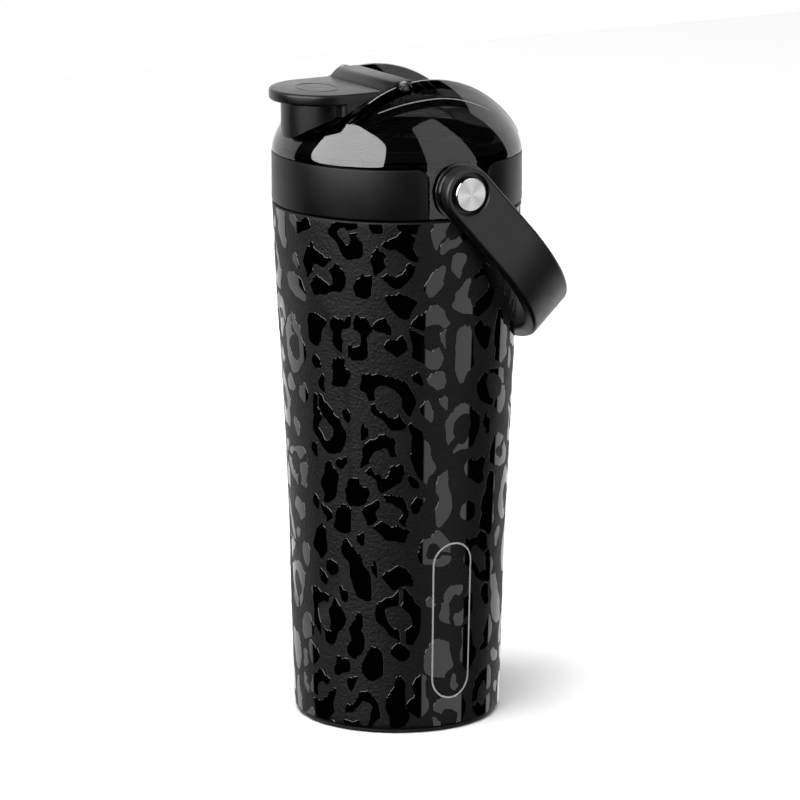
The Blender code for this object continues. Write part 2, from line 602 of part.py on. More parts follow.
def strap_stations():
    """Centre, outward direction and half width of the strap at each station from end to end."""
    half = STRAP_WIDTH / 2
    leg = [(-half * math.sin(math.radians(a)), half * math.cos(math.radians(a)))
           for a in (82, 64, 44, 22)] + [(0, half), (LOOP_STRAIGHT, half)]
    stations = [((LOOP_RADIUS, s), (1, 0), w) for s, w in leg]
    bends = 20
    for i in range(1, bends):
        a = math.pi * i / bends
        stations.append(((LOOP_RADIUS * math.cos(a), LOOP_STRAIGHT + LOOP_RADIUS * math.sin(a)),
                         (math.cos(a), math.sin(a)), half))
    stations += [((-LOOP_RADIUS, s), (-1, 0), w) for s, w in reversed(leg)]
    return stations


def handle_strap():
    """Moulded carry loop with a countersunk hole at each pivot."""
    bm = bmesh.new()
    along = Vector((0, math.cos(LOOP_ANGLE), -math.sin(LOOP_ANGLE)))
    across = Vector((0, math.sin(LOOP_ANGLE), math.cos(LOOP_ANGLE)))
    rows = []
    for (x, s), (out_x, out_s), half_width in strap_stations():
        centre = Vector((x, 0, 0)) + along * s
        outward = Vector((out_x, 0, 0)) + along * out_s
        rows.append([bm.verts.new(centre + outward * a + across * b) for a, b in strap_section(half_width)])
    count = len(rows[0])
    for a, b in zip(rows, rows[1:]):
        for k in range(count):
            bm.faces.new((a[k], a[(k + 1) % count], b[(k + 1) % count], b[k]))
    bm.faces.new(rows[0])
    bm.faces.new(rows[-1])
    strap = finish_mesh(bm, "handle_strap", material("strap_plastic", (0.015, 0.015, 0.016), 0.5))
    strap.location.z = PIVOT_Z
    for side, word in ((1, "right"), (-1, "left")):
        radius = BUSHING_RADIUS + GAP
        hole = [(0, 44 * MM), (radius, 44 * MM), (radius, COUNTERBORE_X), (COUNTERBORE, COUNTERBORE_X),
                (COUNTERBORE, 54 * MM), (0, 54 * MM)]
        boolean(strap, lathe_along_x("strap_hole_" + word, hole, None, (0, 0, PIVOT_Z), side), "DIFFERENCE")


def pivots():
    """At each end of the loop: threaded insert in the lid, flanged bushing in the strap, shoulder screw."""
    steel = material("screw_steel", (0.7, 0.7, 0.7), 0.3, 1.0)
    brass = material("insert_brass", (0.6, 0.45, 0.2), 0.35, 1.0)
    acetal = material("bushing_acetal", (0.02, 0.02, 0.02), 0.4)
    centre = (0, 0, PIVOT_Z)
    bevel = 0.4 * MM
    screw = [(0, SCREW_TIP_X), (SCREW_SHANK - 0.4 * MM, SCREW_TIP_X), (SCREW_SHANK, SCREW_TIP_X + 0.4 * MM),
             (SCREW_SHANK, SCREW_HEAD_X), (SCREW_HEAD_RADIUS, SCREW_HEAD_X),
             (SCREW_HEAD_RADIUS, SCREW_FACE_X - bevel), (SCREW_HEAD_RADIUS - bevel, SCREW_FACE_X),
             (0, SCREW_FACE_X)]
    bore = SCREW_SHANK + GAP
    insert = [(bore, INSERT_INNER_X), (INSERT_RADIUS, INSERT_INNER_X), (INSERT_RADIUS, INSERT_OUTER_X),
              (bore, INSERT_OUTER_X)]
    flange_end, top = LOOP_RADIUS - STRAP_THICKNESS / 2 - GAP, COUNTERBORE_X - 0.1 * MM
    bushing = [(bore, BUSHING_FLANGE_X), (BUSHING_FLANGE, BUSHING_FLANGE_X), (BUSHING_FLANGE, BUSHING_STEP_X),
               (BUSHING_STEP, BUSHING_STEP_X), (BUSHING_STEP, flange_end), (BUSHING_RADIUS, flange_end),
               (BUSHING_RADIUS, top), (bore, top)]
    for side, word in ((1, "right"), (-1, "left")):
        lathe_along_x("pivot_screw_" + word, screw, steel, centre, side)
        lathe_along_x("pivot_insert_" + word, insert, brass, centre, side)
        lathe_along_x("pivot_bushing_" + word, bushing, acetal, centre, side)


def set_origin(name, point):
    """Put an object's origin on its joint's axis without moving its shape."""
    obj = bpy.data.objects[name]
    offset = Vector(point) - obj.location
    obj.data.transform(Matrix.Translation(-offset))
    obj.location = Vector(point)


def main():
    clear_scene()
    outer_shell()
    inner_vessel()
    base_cap()
    vacuum_seal()
    vacuum_getter()
    base_pad()
    lid_shell()
    collar_bands()
    lid_gasket()
    agitator()
    flip_cap()
    cap_seal()
    hinge_pin()
    handle_strap()
    pivots()
    for name in ("flip_cap", "cap_seal"):
        set_origin(name, (0, HINGE_Y, HINGE_Z))
    for name in ("pivot_bushing_right", "pivot_bushing_left"):
        set_origin(name, (0, 0, PIVOT_Z))


main()
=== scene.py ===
"""Looks of the insulated shaker bottle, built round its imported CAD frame. Metres, +Z up.

The body, lid, bands, cap, loop and screws are finer meshes that stand for their CAD nodes. The spots on
the body are thin raised patches. The hidden pieces keep their CAD meshes and get materials.
"""

import math

import bmesh
import bpy
import numpy as np
from mathutils import Matrix, Vector


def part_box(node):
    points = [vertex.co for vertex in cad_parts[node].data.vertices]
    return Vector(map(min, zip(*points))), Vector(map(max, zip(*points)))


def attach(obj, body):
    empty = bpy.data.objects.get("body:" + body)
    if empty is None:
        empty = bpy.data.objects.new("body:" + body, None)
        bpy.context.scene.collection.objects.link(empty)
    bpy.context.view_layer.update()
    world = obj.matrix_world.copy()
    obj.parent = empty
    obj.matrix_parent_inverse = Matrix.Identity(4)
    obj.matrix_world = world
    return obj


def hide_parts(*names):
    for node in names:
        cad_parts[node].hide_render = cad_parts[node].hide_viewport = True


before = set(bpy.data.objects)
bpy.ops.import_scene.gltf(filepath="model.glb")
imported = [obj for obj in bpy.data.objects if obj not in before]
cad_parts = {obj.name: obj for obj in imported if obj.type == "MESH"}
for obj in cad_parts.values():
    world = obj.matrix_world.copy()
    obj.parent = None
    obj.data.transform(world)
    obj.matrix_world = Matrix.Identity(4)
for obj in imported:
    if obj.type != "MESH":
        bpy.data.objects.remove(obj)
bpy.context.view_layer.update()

MM = 0.001
FINE = 192                        # facets round the bottle
ROUND = 96                        # facets round screws and bushings
SMOOTH_ANGLE = math.radians(32)

# places taken from the frame
shell_low, shell_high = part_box("outer_shell")
lid_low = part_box("lid_shell")[0]
band_low, band_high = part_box("collar_front")
screw_low, screw_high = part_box("pivot_screw_right")
bushing_low, bushing_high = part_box("pivot_bushing_right")
pin_low, pin_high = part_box("hinge_pin")
pad_low, pad_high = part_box("base_pad")
rim_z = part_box("inner_vessel")[1].z

PIVOT_Z = (screw_low.z + screw_high.z) / 2
HINGE_Y = (pin_low.y + pin_high.y) / 2
HINGE_Z = (pin_low.z + pin_high.z) / 2

# body
BASE_RADIUS = 37.05 * MM
LOWER_TAPER = 0.030
UPPER_TAPER = 0.0434
KNEE_Z = 60 * MM
BODY_TOP_Z = 187.9 * MM
WALL = 0.6 * MM
GRIP_DEPTH = 0.9 * MM
GRIP_CENTRE_Z = 99 * MM
GRIP_HALF_HEIGHT = 63 * MM
GRIP_HALF_ANGLE = math.radians(38)
GRIP_EDGE = 0.12
GRIP_POWER = 3
NECK_RADIUS = 39.6 * MM
NECK_TOP_Z = shell_high.z
THREAD_STARTS = 3
THREAD_LEAD = 12 * MM
THREAD_Z = 191.5 * MM
THREAD_SWEEP = math.radians(150)
THREAD_HEIGHT = 1.2 * MM

# lid
LID_RADIUS = 44.5 * MM
DOME_Z = 207 * MM
DOME_HEIGHT = 31 * MM
DOME_POWER = 0.66
CHANNEL_HALF_WIDTH = 20.2 * MM
CHANNEL_TOP_Z = 226.2 * MM
CHANNEL_CREST_Y = 4 * MM
CHANNEL_FALL_FRONT = 5.7
CHANNEL_FALL_REAR = 12.3
CHANNEL_WALL = 2.5 * MM
EAR_OUTER_X = 22.4 * MM
EAR_RADIUS = 2.5 * MM
PIN_HEAD = 1.5 * MM
SPOUT_Y = -29.5 * MM
WINDOW_HALF_WIDTH = 11.9 * MM
WINDOW_CORNER = 4.5 * MM
COLLAR_RADIUS = 44.6 * MM
COLLAR_INNER_RADIUS = 43.2 * MM
SKIRT_BORE = 41.2 * MM
LEDGE_Z = 207.5 * MM
LEDGE_TOP_Z = 209.7 * MM
PLUG_RADIUS = 36.8 * MM
PLUG_BORE = 35.0 * MM
PLUG_BOTTOM_Z = 200.5 * MM
CAVITY_RADIUS = 41.5 * MM
CAVITY_Z = 208 * MM
CAVITY_HEIGHT = 27.2 * MM
SPOUT_RADIUS = 10.5 * MM
SPOUT_BORE = 8.2 * MM
SPOUT_TOP_Z = 224.5 * MM
SPOUT_BOTTOM_Z = 213 * MM
EAR_BOTTOM_Z = 224 * MM
PIN_HOLE = 1.4 * MM

# flip cap
CAP_HALF_WIDTH = 19.5 * MM
CAP_TOP_Z = 230.8 * MM
CAP_PLATE = 4 * MM
CAP_REAR_Y = -16.7 * MM
CAP_BLOCK_Y = -32.6 * MM
COLUMN_RADIUS = 15.3 * MM
COLUMN_BORE = 12.6 * MM
CAP_SEAT_Z = 224.8 * MM
BAR_FRONT_Y = -16.2 * MM
BAR_SLOPE_Y = -13.2 * MM
BAR_REAR_Y = -4.2 * MM
BAR_BOTTOM_Z = 229.1 * MM
BAR_TOP_Z = 233.8 * MM

# carry loop
LOOP_ANGLE = math.radians(47.7)
LOOP_STRAIGHT = 27.0 * MM
LOOP_RADIUS = 48.9 * MM
STRAP_WIDTH = 19 * MM
STRAP_THICKNESS = 5.2 * MM
STRAP_EDGE = 1.4 * MM
SCREW_TIP_X = 42.6 * MM
SCREW_HEAD_X = 49.4 * MM
SCREW_SHANK = 3.2 * MM
BUSHING_STEP = 9.2 * MM
BUSHING_STEP_X = 45.45 * MM


# ---------- node materials ----------

class Nodes:
    """Short hand for building one Principled material out of nodes."""

    def __init__(self, name, colour, roughness, metallic=0.0):
        self.mat = bpy.data.materials.new(name)
        self.mat.use_nodes = True
        self.tree = self.mat.node_tree
        self.shader = self.tree.nodes["Principled BSDF"]
        self.set("Base Color", (*colour, 1.0))
        self.set("Roughness", roughness)
        self.set("Metallic", metallic)
        self.place = self.node("ShaderNodeTexCoord").outputs["Object"]

    def set(self, socket, value):
        self.shader.inputs[socket].default_value = value

    def node(self, kind, **values):
        made = self.tree.nodes.new(kind)
        for key, value in values.items():
            setattr(made, key, value)
        return made

    def link(self, output, target):
        self.tree.links.new(output, target)

    def noise(self, scale, detail=4.0, stretch=(1, 1, 1)):
        """Noise in object space, scale in features per metre."""
        mapping = self.node("ShaderNodeMapping")
        mapping.inputs["Scale"].default_value = stretch
        self.link(self.place, mapping.inputs["Vector"])
        noise = self.node("ShaderNodeTexNoise")
        noise.inputs["Scale"].default_value = scale
        noise.inputs["Detail"].default_value = detail
        self.link(mapping.outputs["Vector"], noise.inputs["Vector"])
        return noise.outputs["Fac"]

    def math(self, operation, *values):
        """One math node; each value is a number or another node's output."""
        made = self.node("ShaderNodeMath", operation=operation)
        for value, socket in zip(values, made.inputs):
            if isinstance(value, float):
                socket.default_value = value
            else:
                self.link(value, socket)
        return made.outputs["Value"]

    def spread(self, value, low, high):
        """Map a noise value onto a range."""
        span = self.node("ShaderNodeMapRange")
        span.inputs["From Min"].default_value = 0.3
        span.inputs["From Max"].default_value = 0.7
        span.inputs["To Min"].default_value = low
        span.inputs["To Max"].default_value = high
        self.link(value, span.inputs["Value"])
        return span.outputs["Result"]

    def vary_roughness(self, value, low, high):
        self.link(self.spread(value, low, high), self.shader.inputs["Roughness"])

    def vary_colour(self, value, dark, light):
        ramp = self.node("ShaderNodeValToRGB")
        ramp.color_ramp.elements[0].position = 0.3
        ramp.color_ramp.elements[1].position = 0.7
        ramp.color_ramp.elements[0].color = (*dark, 1)
        ramp.color_ramp.elements[1].color = (*light, 1)
        self.link(value, ramp.inputs["Fac"])
        self.link(ramp.outputs["Color"], self.shader.inputs["Base Color"])

    def bump(self, value, height, strength=1.0):
        """Bump from a 0 to 1 value, height in metres."""
        bump = self.node("ShaderNodeBump")
        bump.inputs["Strength"].default_value = strength
        bump.inputs["Distance"].default_value = height
        self.link(value, bump.inputs["Height"])
        self.link(bump.outputs["Normal"], self.shader.inputs["Normal"])


def powder_coat():
    """Black powder coat: a fine orange-peel grain and slightly uneven sheen."""
    n = Nodes("powder_coat", (0.006, 0.006, 0.006), 0.5)
    n.set("Specular IOR Level", 0.14)
    n.bump(n.noise(950, 2), 0.26 * MM, 1.0)
    n.vary_roughness(n.noise(180, 5), 0.46, 0.56)
    n.vary_colour(n.noise(60, 4), (0.005, 0.005, 0.005), (0.007, 0.007, 0.007))
    return n.mat


def gloss_ink():
    """Raised gloss lacquer of the spots."""
    n = Nodes("gloss_ink", (0.001, 0.001, 0.001), 0.06)
    n.vary_roughness(n.noise(220, 3), 0.04, 0.08)
    n.bump(n.noise(240, 2), 0.02 * MM, 0.15)
    return n.mat


def mark_ink():
    """Pale satin ink of the plain mark."""
    n = Nodes("mark_ink", (0.55, 0.55, 0.55), 0.4)
    n.vary_colour(n.noise(900, 3), (0.52, 0.52, 0.52), (0.58, 0.58, 0.58))
    n.vary_roughness(n.noise(700, 3), 0.35, 0.45)
    return n.mat


def matte_plastic(name, shade, rough, gloss):
    """Moulded plastic with a fine spark-eroded grain."""
    n = Nodes(name, (shade, shade, shade * 1.02), rough)
    n.set("Specular IOR Level", gloss)
    n.bump(n.noise(3200, 2), 0.05 * MM, 0.25)
    n.vary_roughness(n.noise(150, 4), rough - 0.03, rough + 0.04)
    n.vary_colour(n.noise(90, 4), (shade * 0.9,) * 3, (shade * 1.1,) * 3)
    return n.mat


def gloss_plastic(name, shade, rough):
    n = Nodes(name, (shade, shade, shade), rough)
    n.vary_roughness(n.noise(120, 3), rough * 0.8, rough * 1.3)
    n.vary_colour(n.noise(70, 3), (shade * 0.9,) * 3, (shade * 1.1,) * 3)
    return n.mat


def smoked_plastic():
    """Clear copolyester with a heavy black tint."""
    n = Nodes("smoked_plastic", (0.95, 0.95, 0.955), 0.02)
    n.set("Transmission Weight", 1.0)
    n.set("IOR", 1.5)
    n.bump(n.noise(55, 2), 0.05 * MM, 0.08)
    n.vary_colour(n.noise(40, 2), (0.94, 0.94, 0.945), (0.96, 0.96, 0.965))
    tint = n.node("ShaderNodeVolumeAbsorption")
    tint.inputs["Color"].default_value = (0.02, 0.02, 0.02, 1)
    tint.inputs["Density"].default_value = 620
    n.link(tint.outputs["Volume"], n.tree.nodes["Material Output"].inputs["Volume"])
    return n.mat


def spun_steel_painted_sheen():
    """Screw face turned on a lathe: an anisotropic sheen round the axis, and soft wedges of light painted into
    the base colour as a painted reflection.
    """
    n = Nodes("spun_steel_painted_sheen", (0.45, 0.45, 0.45), 0.28, 1.0)
    n.set("Anisotropic", 0.75)
    tangent = n.node("ShaderNodeTangent", direction_type="RADIAL", axis="X")
    n.link(tangent.outputs["Tangent"], n.shader.inputs["Tangent"])
    n.vary_roughness(n.noise(4000, 2), 0.24, 0.32)
    centre = n.node("ShaderNodeMapping")
    centre.inputs["Location"].default_value = (0, 0, -PIVOT_Z)
    n.link(n.place, centre.inputs["Vector"])
    split = n.node("ShaderNodeSeparateXYZ")
    n.link(centre.outputs["Vector"], split.inputs["Vector"])
    turn = n.math("ARCTAN2", split.outputs["Z"], split.outputs["Y"])
    # painted reflection: the base colour turns lighter and darker in four wedges round the axis, standing for
    # the sheen of the spun face
    painted_sheen_wedges = n.math("SINE", n.math("MULTIPLY_ADD", turn, 4.0, 1.2))
    n.vary_colour(n.math("MULTIPLY_ADD", painted_sheen_wedges, 0.2, 0.5), (0.38, 0.38, 0.38), (0.52, 0.52, 0.52))
    return n.mat


def polished_steel(name, rough, shade=0.62):
    n = Nodes(name, (shade, shade, shade), rough, 1.0)
    n.vary_roughness(n.noise(500, 3), rough * 0.8, rough * 1.25)
    n.bump(n.noise(900, 2, (1, 1, 0.05)), 0.02 * MM, 0.15)
    return n.mat


def brass():
    n = Nodes("turned_brass", (0.60, 0.43, 0.17), 0.3, 1.0)
    n.vary_roughness(n.noise(800, 3), 0.25, 0.38)
    n.vary_colour(n.noise(200, 3), (0.54, 0.38, 0.15), (0.64, 0.46, 0.19))
    return n.mat


def silicone(name, shade):
    n = Nodes(name, (shade, shade, shade), 0.6)
    n.vary_roughness(n.noise(300, 4), 0.55, 0.68)
    n.bump(n.noise(1800, 2), 0.04 * MM, 0.2)
    n.vary_colour(n.noise(120, 3), (shade * 0.85,) * 3, (shade * 1.15,) * 3)
    return n.mat


# ---------- mesh helpers ----------

def finish_object(mesh, name, mat, body, nodes=()):
    """Give a mesh its materials, put it on its body and hide the CAD nodes it stands for."""
    obj = bpy.data.objects.new(name, mesh)
    bpy.context.scene.collection.objects.link(obj)
    for one in (mat if isinstance(mat, (list, tuple)) else [mat]):
        mesh.materials.append(one)
    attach(obj, body)
    if nodes:
        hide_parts(*nodes)
    return obj


def shade(mesh, angle=SMOOTH_ANGLE):
    mesh.shade_smooth()
    mesh.set_sharp_from_angle(angle=angle)
    return mesh


def mesh_from(name, verts, faces):
    mesh = bpy.data.meshes.new(name)
    mesh.from_pydata([tuple(v) for v in verts], [], faces)
    bm = bmesh.new()
    bm.from_mesh(mesh)
    bmesh.ops.recalc_face_normals(bm, faces=bm.faces)
    bm.to_mesh(mesh)
    bm.free()
    return shade(mesh)


def arc(centre, radius, start, end, steps):
    """Points on an arc in a plane, angles in degrees."""
    points = []
    for i in range(steps + 1):
        a = math.radians(start + (end - start) * i / steps)
        points.append((centre[0] + radius * math.cos(a), centre[1] + radius * math.sin(a)))
    return points


def rounded(points, radius, steps=3):
    """Replace each inner corner of an open outline by a small curve."""
    out = [points[0]]
    for before, here, after in zip(points, points[1:], points[2:]):
        a, p, b = (np.array(q, float) for q in (before, here, after))
        reach = min(radius, 0.4 * np.linalg.norm(a - p), 0.4 * np.linalg.norm(b - p))
        start = p + (a - p) / np.linalg.norm(a - p) * reach
        end = p + (b - p) / np.linalg.norm(b - p) * reach
        for i in range(steps + 1):
            t = i / steps
            out.append(tuple((1 - t) ** 2 * start + 2 * t * (1 - t) * p + t * t * end))
    return out + [points[-1]]


def rounded_loop(points, radius, steps=6):
    """Closed outline with every corner softened."""
    around = rounded([points[-1]] + list(points) + [points[0]], radius, steps)
    return around[1:-1]


def loft(rows, closed_rows=True, caps=True):
    """Vertices and faces of a skin through equally long rows of points."""
    count = len(rows[0])
    verts = [p for row in rows for p in row]
    faces = []
    last = count if closed_rows else count - 1
    for r in range(len(rows) - 1):
        for k in range(last):
            n = (k + 1) % count
            faces.append((r * count + k, r * count + n, (r + 1) * count + n, (r + 1) * count + k))
    if caps:
        faces.append(tuple(range(count)))
        faces.append(tuple(range((len(rows) - 1) * count, len(rows) * count)))
    return verts, faces


def lathe(name, profile, steps=FINE, axis="Z", centre=(0, 0, 0), side=1):
    """Mesh of (radius, height) points spun round an axis through the centre. side flips it on X."""
    bm = bmesh.new()
    verts = [bm.verts.new((r, 0, z)) for r, z in profile]
    edges = [bm.edges.new(pair) for pair in zip(verts, verts[1:])]
    if profile[0][0] > 0:
        edges.append(bm.edges.new((verts[-1], verts[0])))
    bmesh.ops.spin(bm, geom=verts + edges, cent=(0, 0, 0), axis=(0, 0, 1), dvec=(0, 0, 0),
                   angle=2 * math.pi, steps=steps, use_merge=True)
    bmesh.ops.remove_doubles(bm, verts=bm.verts, dist=0.0005 * MM)
    turn = Matrix.Rotation(side * math.pi / 2, 4, "Y") if axis == "X" else Matrix.Identity(4)
    bmesh.ops.transform(bm, matrix=Matrix.Translation(centre) @ turn, verts=bm.verts)
    bmesh.ops.recalc_face_normals(bm, faces=bm.faces)
    mesh = bpy.data.meshes.new(name)
    bm.to_mesh(mesh)
    bm.free()
    return shade(mesh)


def prism(name, outline, low, high, axis="X"):
    """Mesh of a closed outline extruded along X as (y, z), or along Z as (x, y)."""
    place = (lambda p, t: (t, p[0], p[1])) if axis == "X" else (lambda p, t: (p[0], p[1], t))
    rows = [[place(p, low) for p in outline], [place(p, high) for p in outline]]
    return mesh_from(name, *loft(rows))


def combine(base, tools):
    """Apply exact Booleans of (mesh, operation) to a mesh and return the result."""
    scene = bpy.context.scene
    obj = bpy.data.objects.new("work", base)
    scene.collection.objects.link(obj)
    helpers = []
    for mesh, operation in tools:
        helper = bpy.data.objects.new("tool", mesh)
        scene.collection.objects.link(helper)
        helpers.append(helper)
        mod = obj.modifiers.new("cut", "BOOLEAN")
        mod.operation = operation
        mod.solver = "EXACT"
        mod.object = helper
    graph = bpy.context.evaluated_depsgraph_get()
    result = bpy.data.meshes.new_from_object(obj.evaluated_get(graph))
    result.name = base.name
    for old in [obj] + helpers:
        bpy.data.objects.remove(old, do_unlink=True)
    return shade(result)


# ---------- body ----------

def wall_radius(z):
    return BASE_RADIUS + LOWER_TAPER * z + (UPPER_TAPER - LOWER_TAPER) * np.maximum(0.0, z - KNEE_Z)


def grip_recess(angle, z):
    """Depth of the recess; the angle is counted from the front."""
    u = np.abs(angle) / GRIP_HALF_ANGLE
    v = np.abs(z - GRIP_CENTRE_Z) / GRIP_HALF_HEIGHT
    t = (1 - (u ** GRIP_POWER + v ** GRIP_POWER) ** (1 / GRIP_POWER)) / GRIP_EDGE
    t = np.clip(t, 0, 1)
    return GRIP_DEPTH * t * t * (3 - 2 * t)


def on_wall(angle, z, out=0.0):
    """Point on the body, the angle counted from the front towards +X."""
    r = wall_radius(z) - grip_recess(np.arctan2(np.sin(angle), np.cos(angle)), z) + out
    return np.stack([r * np.sin(angle), -r * np.cos(angle), z + 0 * angle], axis=-1)


def body_shell(mat):
    """Outer wall with its rolled bottom edge, shoulder and neck."""
    low, top = shell_low.z, BODY_TOP_Z
    levels = np.linspace(low + 2.2 * MM, top - 0.7 * MM, 118)
    angles = np.linspace(0, 2 * np.pi, 320, endpoint=False)
    rows = []

    def ring(radius, z):
        rows.append([(radius * math.sin(a), -radius * math.cos(a), z) for a in angles])

    ring(wall_radius(low) - WALL, low)
    ring(wall_radius(low) - 0.45 * MM, low)
    ring(wall_radius(low) - 0.20 * MM, low + 0.3 * MM)
    ring(wall_radius(low) - 0.05 * MM, low + 0.9 * MM)
    for z in levels:
        rows.append([tuple(p) for p in on_wall(angles, np.full_like(angles, z))])
    ring(wall_radius(top) - 0.15 * MM, top - 0.3 * MM)
    ring(wall_radius(top) - 0.7 * MM, top)
    ring(NECK_RADIUS + 0.7 * MM, top)
    ring(NECK_RADIUS + 0.2 * MM, top + 0.2 * MM)
    ring(NECK_RADIUS, top + 0.7 * MM)
    ring(NECK_RADIUS, NECK_TOP_Z)
    ring(NECK_RADIUS - WALL, NECK_TOP_Z)
    ring(NECK_RADIUS - WALL, top + 0.6 * MM)
    ring(NECK_RADIUS - 0.1 * MM, top - WALL)
    ring(wall_radius(top) - 1.5 * WALL, top - WALL)
    for z in levels[::-2]:
        rows.append([tuple(p) for p in on_wall(angles, np.full_like(angles, z), -WALL)])
    verts, faces = loft(rows + [rows[0]], caps=False)
    count = len(angles)
    keep = len(rows) * count
    faces = [tuple(i % keep for i in f) for f in faces]
    mesh = mesh_from("body_shell", verts[:keep], faces)
    return finish_object(mesh, "body_shell", mat, "bottle", ("outer_shell",))


def neck_thread(mat):
    """Three raised ridges round the neck, each fading in and out."""
    verts, faces = [], []
    steps = 60
    for start in range(THREAD_STARTS):
        rows = []
        for i in range(steps + 1):
            angle = 2 * math.pi * start / THREAD_STARTS + THREAD_SWEEP * i / steps
            z = THREAD_Z + THREAD_LEAD * THREAD_SWEEP * i / steps / (2 * math.pi)
            full = min(1.0, 4 * i / steps, 4 * (1 - i / steps))
            crest = NECK_RADIUS + THREAD_HEIGHT * (0.15 + 0.85 * full)
            root = NECK_RADIUS - 0.3 * MM
            section = [(root, -1.1), (crest - 0.2 * MM, -0.55), (crest, -0.35), (crest, 0.35),
                       (crest - 0.2 * MM, 0.55), (root, 1.1)]
            rows.append([(r * math.cos(angle), r * math.sin(angle), z + dz * MM) for r, dz in section])
        v, f = loft(rows)
        faces += [tuple(k + len(verts) for k in face) for face in f]
        verts += v
    return finish_object(mesh_from("neck_thread", verts, faces), "neck_thread", mat, "bottle")


# ---------- spots ----------

CELL = 0.42 * MM                  # grid pitch of the spot pattern
SPOT_HEIGHT = 0.07 * MM
SPOT_SKIRT = 0.16 * MM
SPOT_GAP = 1.5 * MM               # least distance between two spots
SPOT_SIZES = (                    # tries, half width and half height in mm, share of rings
    (260, (6.6, 7.6), (8.6, 11.0), 1.0),
    (300, (3.2, 4.2), (7.5, 11.5), 0.0),
    (900, (5.4, 6.2), (6.6, 8.6), 0.75),
    (900, (3.3, 4.6), (4.6, 6.5), 0.0),
    (1200, (2.5, 3.2), (3.0, 4.6), 0.0),
    (1800, (1.5, 2.1), (2.2, 3.4), 0.0))
PATTERN_RADIUS = 40 * MM


def smooth_noise(rng, shape, cells):
    """Tileable value noise from 0 to 1 on a grid, with about that many cells down and across."""
    grid = rng.random((cells[0] + 1, cells[1]))
    y = np.linspace(0, cells[0] - 1e-6, shape[0])
    x = np.linspace(0, cells[1], shape[1], endpoint=False)
    yi, xi = y.astype(int), x.astype(int)
    fy, fx = (y - yi)[:, None], (x - xi)[None, :]
    fy, fx = fy * fy * (3 - 2 * fy), fx * fx * (3 - 2 * fx)
    right = (xi + 1) % cells[1]
    top = grid[yi][:, xi] * (1 - fx) + grid[yi][:, right] * fx
    bottom = grid[yi + 1][:, xi] * (1 - fx) + grid[yi + 1][:, right] * fx
    return top * (1 - fy) + bottom * fy


def spot_depth(rng, x, z, wide, tall, ring):
    """Signed depth inside one spot, in metres: a blob, or a ring broken by one to three gaps."""
    turn = np.arctan2(z / tall, x / wide)
    rho = np.hypot(x / wide, z / tall)
    waves = ((2, 0.09), (3, 0.10), (5, 0.04))
    edge = 1 + sum(size * np.cos(n * turn + rng.uniform(0, 6)) for n, size in waves)
    depth = (edge - rho) * math.sqrt(wide * tall)
    if not ring:
        return depth
    stroke = rng.uniform(3.4, 4.6) * MM
    hole_x, hole_z = rng.uniform(-0.8, 0.8) * MM, rng.uniform(-1.3, 1.3) * MM
    hole_wide, hole_tall = wide - 0.9 * stroke, tall - 1.15 * stroke
    hole = np.hypot((x - hole_x) / hole_wide, (z - hole_z) / hole_tall) - 1
    depth = np.minimum(depth, hole * math.sqrt(hole_wide * hole_tall))
    first, gaps = rng.uniform(0, 2 * math.pi), rng.integers(1, 4)
    for g in range(gaps):
        at = first + 2 * math.pi * (g + rng.uniform(-0.2, 0.2)) / gaps
        half = rng.uniform(0.45, 1.4) * MM
        beside = np.abs(z * math.cos(at) - x * math.sin(at)) - half
        depth = np.where(x * math.cos(at) + z * math.sin(at) > 0, np.minimum(depth, beside), depth)
    return depth


def spot_field():
    """Depth inside the nearest spot, in metres, on a grid that wraps round the body."""
    rng = np.random.default_rng(11)
    columns = int(round(2 * math.pi * PATTERN_RADIUS / CELL))
    low, high = shell_low.z + 0.6 * MM, BODY_TOP_Z - 0.8 * MM
    rows = int((high - low) / CELL)
    zs = np.linspace(low, high, rows)
    us = np.arange(columns) * CELL
    around = columns * CELL
    field = np.full((rows, columns), -5 * MM)
    taken = np.zeros(field.shape, bool)
    warp_x = (smooth_noise(rng, field.shape, (46, 62)) - 0.5) * 2.6 * MM
    warp_z = (smooth_noise(rng, field.shape, (46, 62)) - 0.5) * 2.6 * MM
    for tries, wide_range, tall_range, ring_share in SPOT_SIZES:
        for _ in range(tries):
            centre_u, centre_z = rng.uniform(0, around), rng.uniform(low - 4 * MM, high + 4 * MM)
            wide, tall = rng.uniform(*wide_range) * MM, rng.uniform(*tall_range) * MM
            tilt = rng.normal(0.15, 0.35)
            reach = int((tall + 3 * MM) / CELL)
            ci, cj = int(centre_u / CELL), int((centre_z - low) / CELL)
            r0, r1 = max(0, cj - reach), min(rows, cj + reach)
            part = np.ix_(np.arange(r0, r1), np.arange(ci - reach, ci + reach) % columns)
            du = (us[part[1][0]] - centre_u + around / 2) % around - around / 2
            dx, dz = du[None, :] + warp_x[part], (zs[r0:r1] - centre_z)[:, None] + warp_z[part]
            x = dx * math.cos(tilt) + dz * math.sin(tilt)
            z = dz * math.cos(tilt) - dx * math.sin(tilt)
            near = np.hypot(x / (wide + SPOT_GAP), z / (tall + SPOT_GAP)) < 1
            if (taken[part] & near).any():
                continue
            taken[part] |= np.hypot(x / wide, z / tall) < 1
            here = spot_depth(rng, x, z, wide, tall, rng.random() < ring_share)
            field[part] = np.maximum(field[part], here)
    slope_z, slope_u = np.gradient(field)
    upper = np.clip(-slope_z / np.maximum(np.hypot(slope_z, slope_u), 1e-9), 0, 1)
    ragged = smooth_noise(rng, field.shape, (int(rows / 2.2), int(columns / 2.2))) - 0.5
    return field + ragged * MM * (0.25 + 0.85 * upper), us, zs


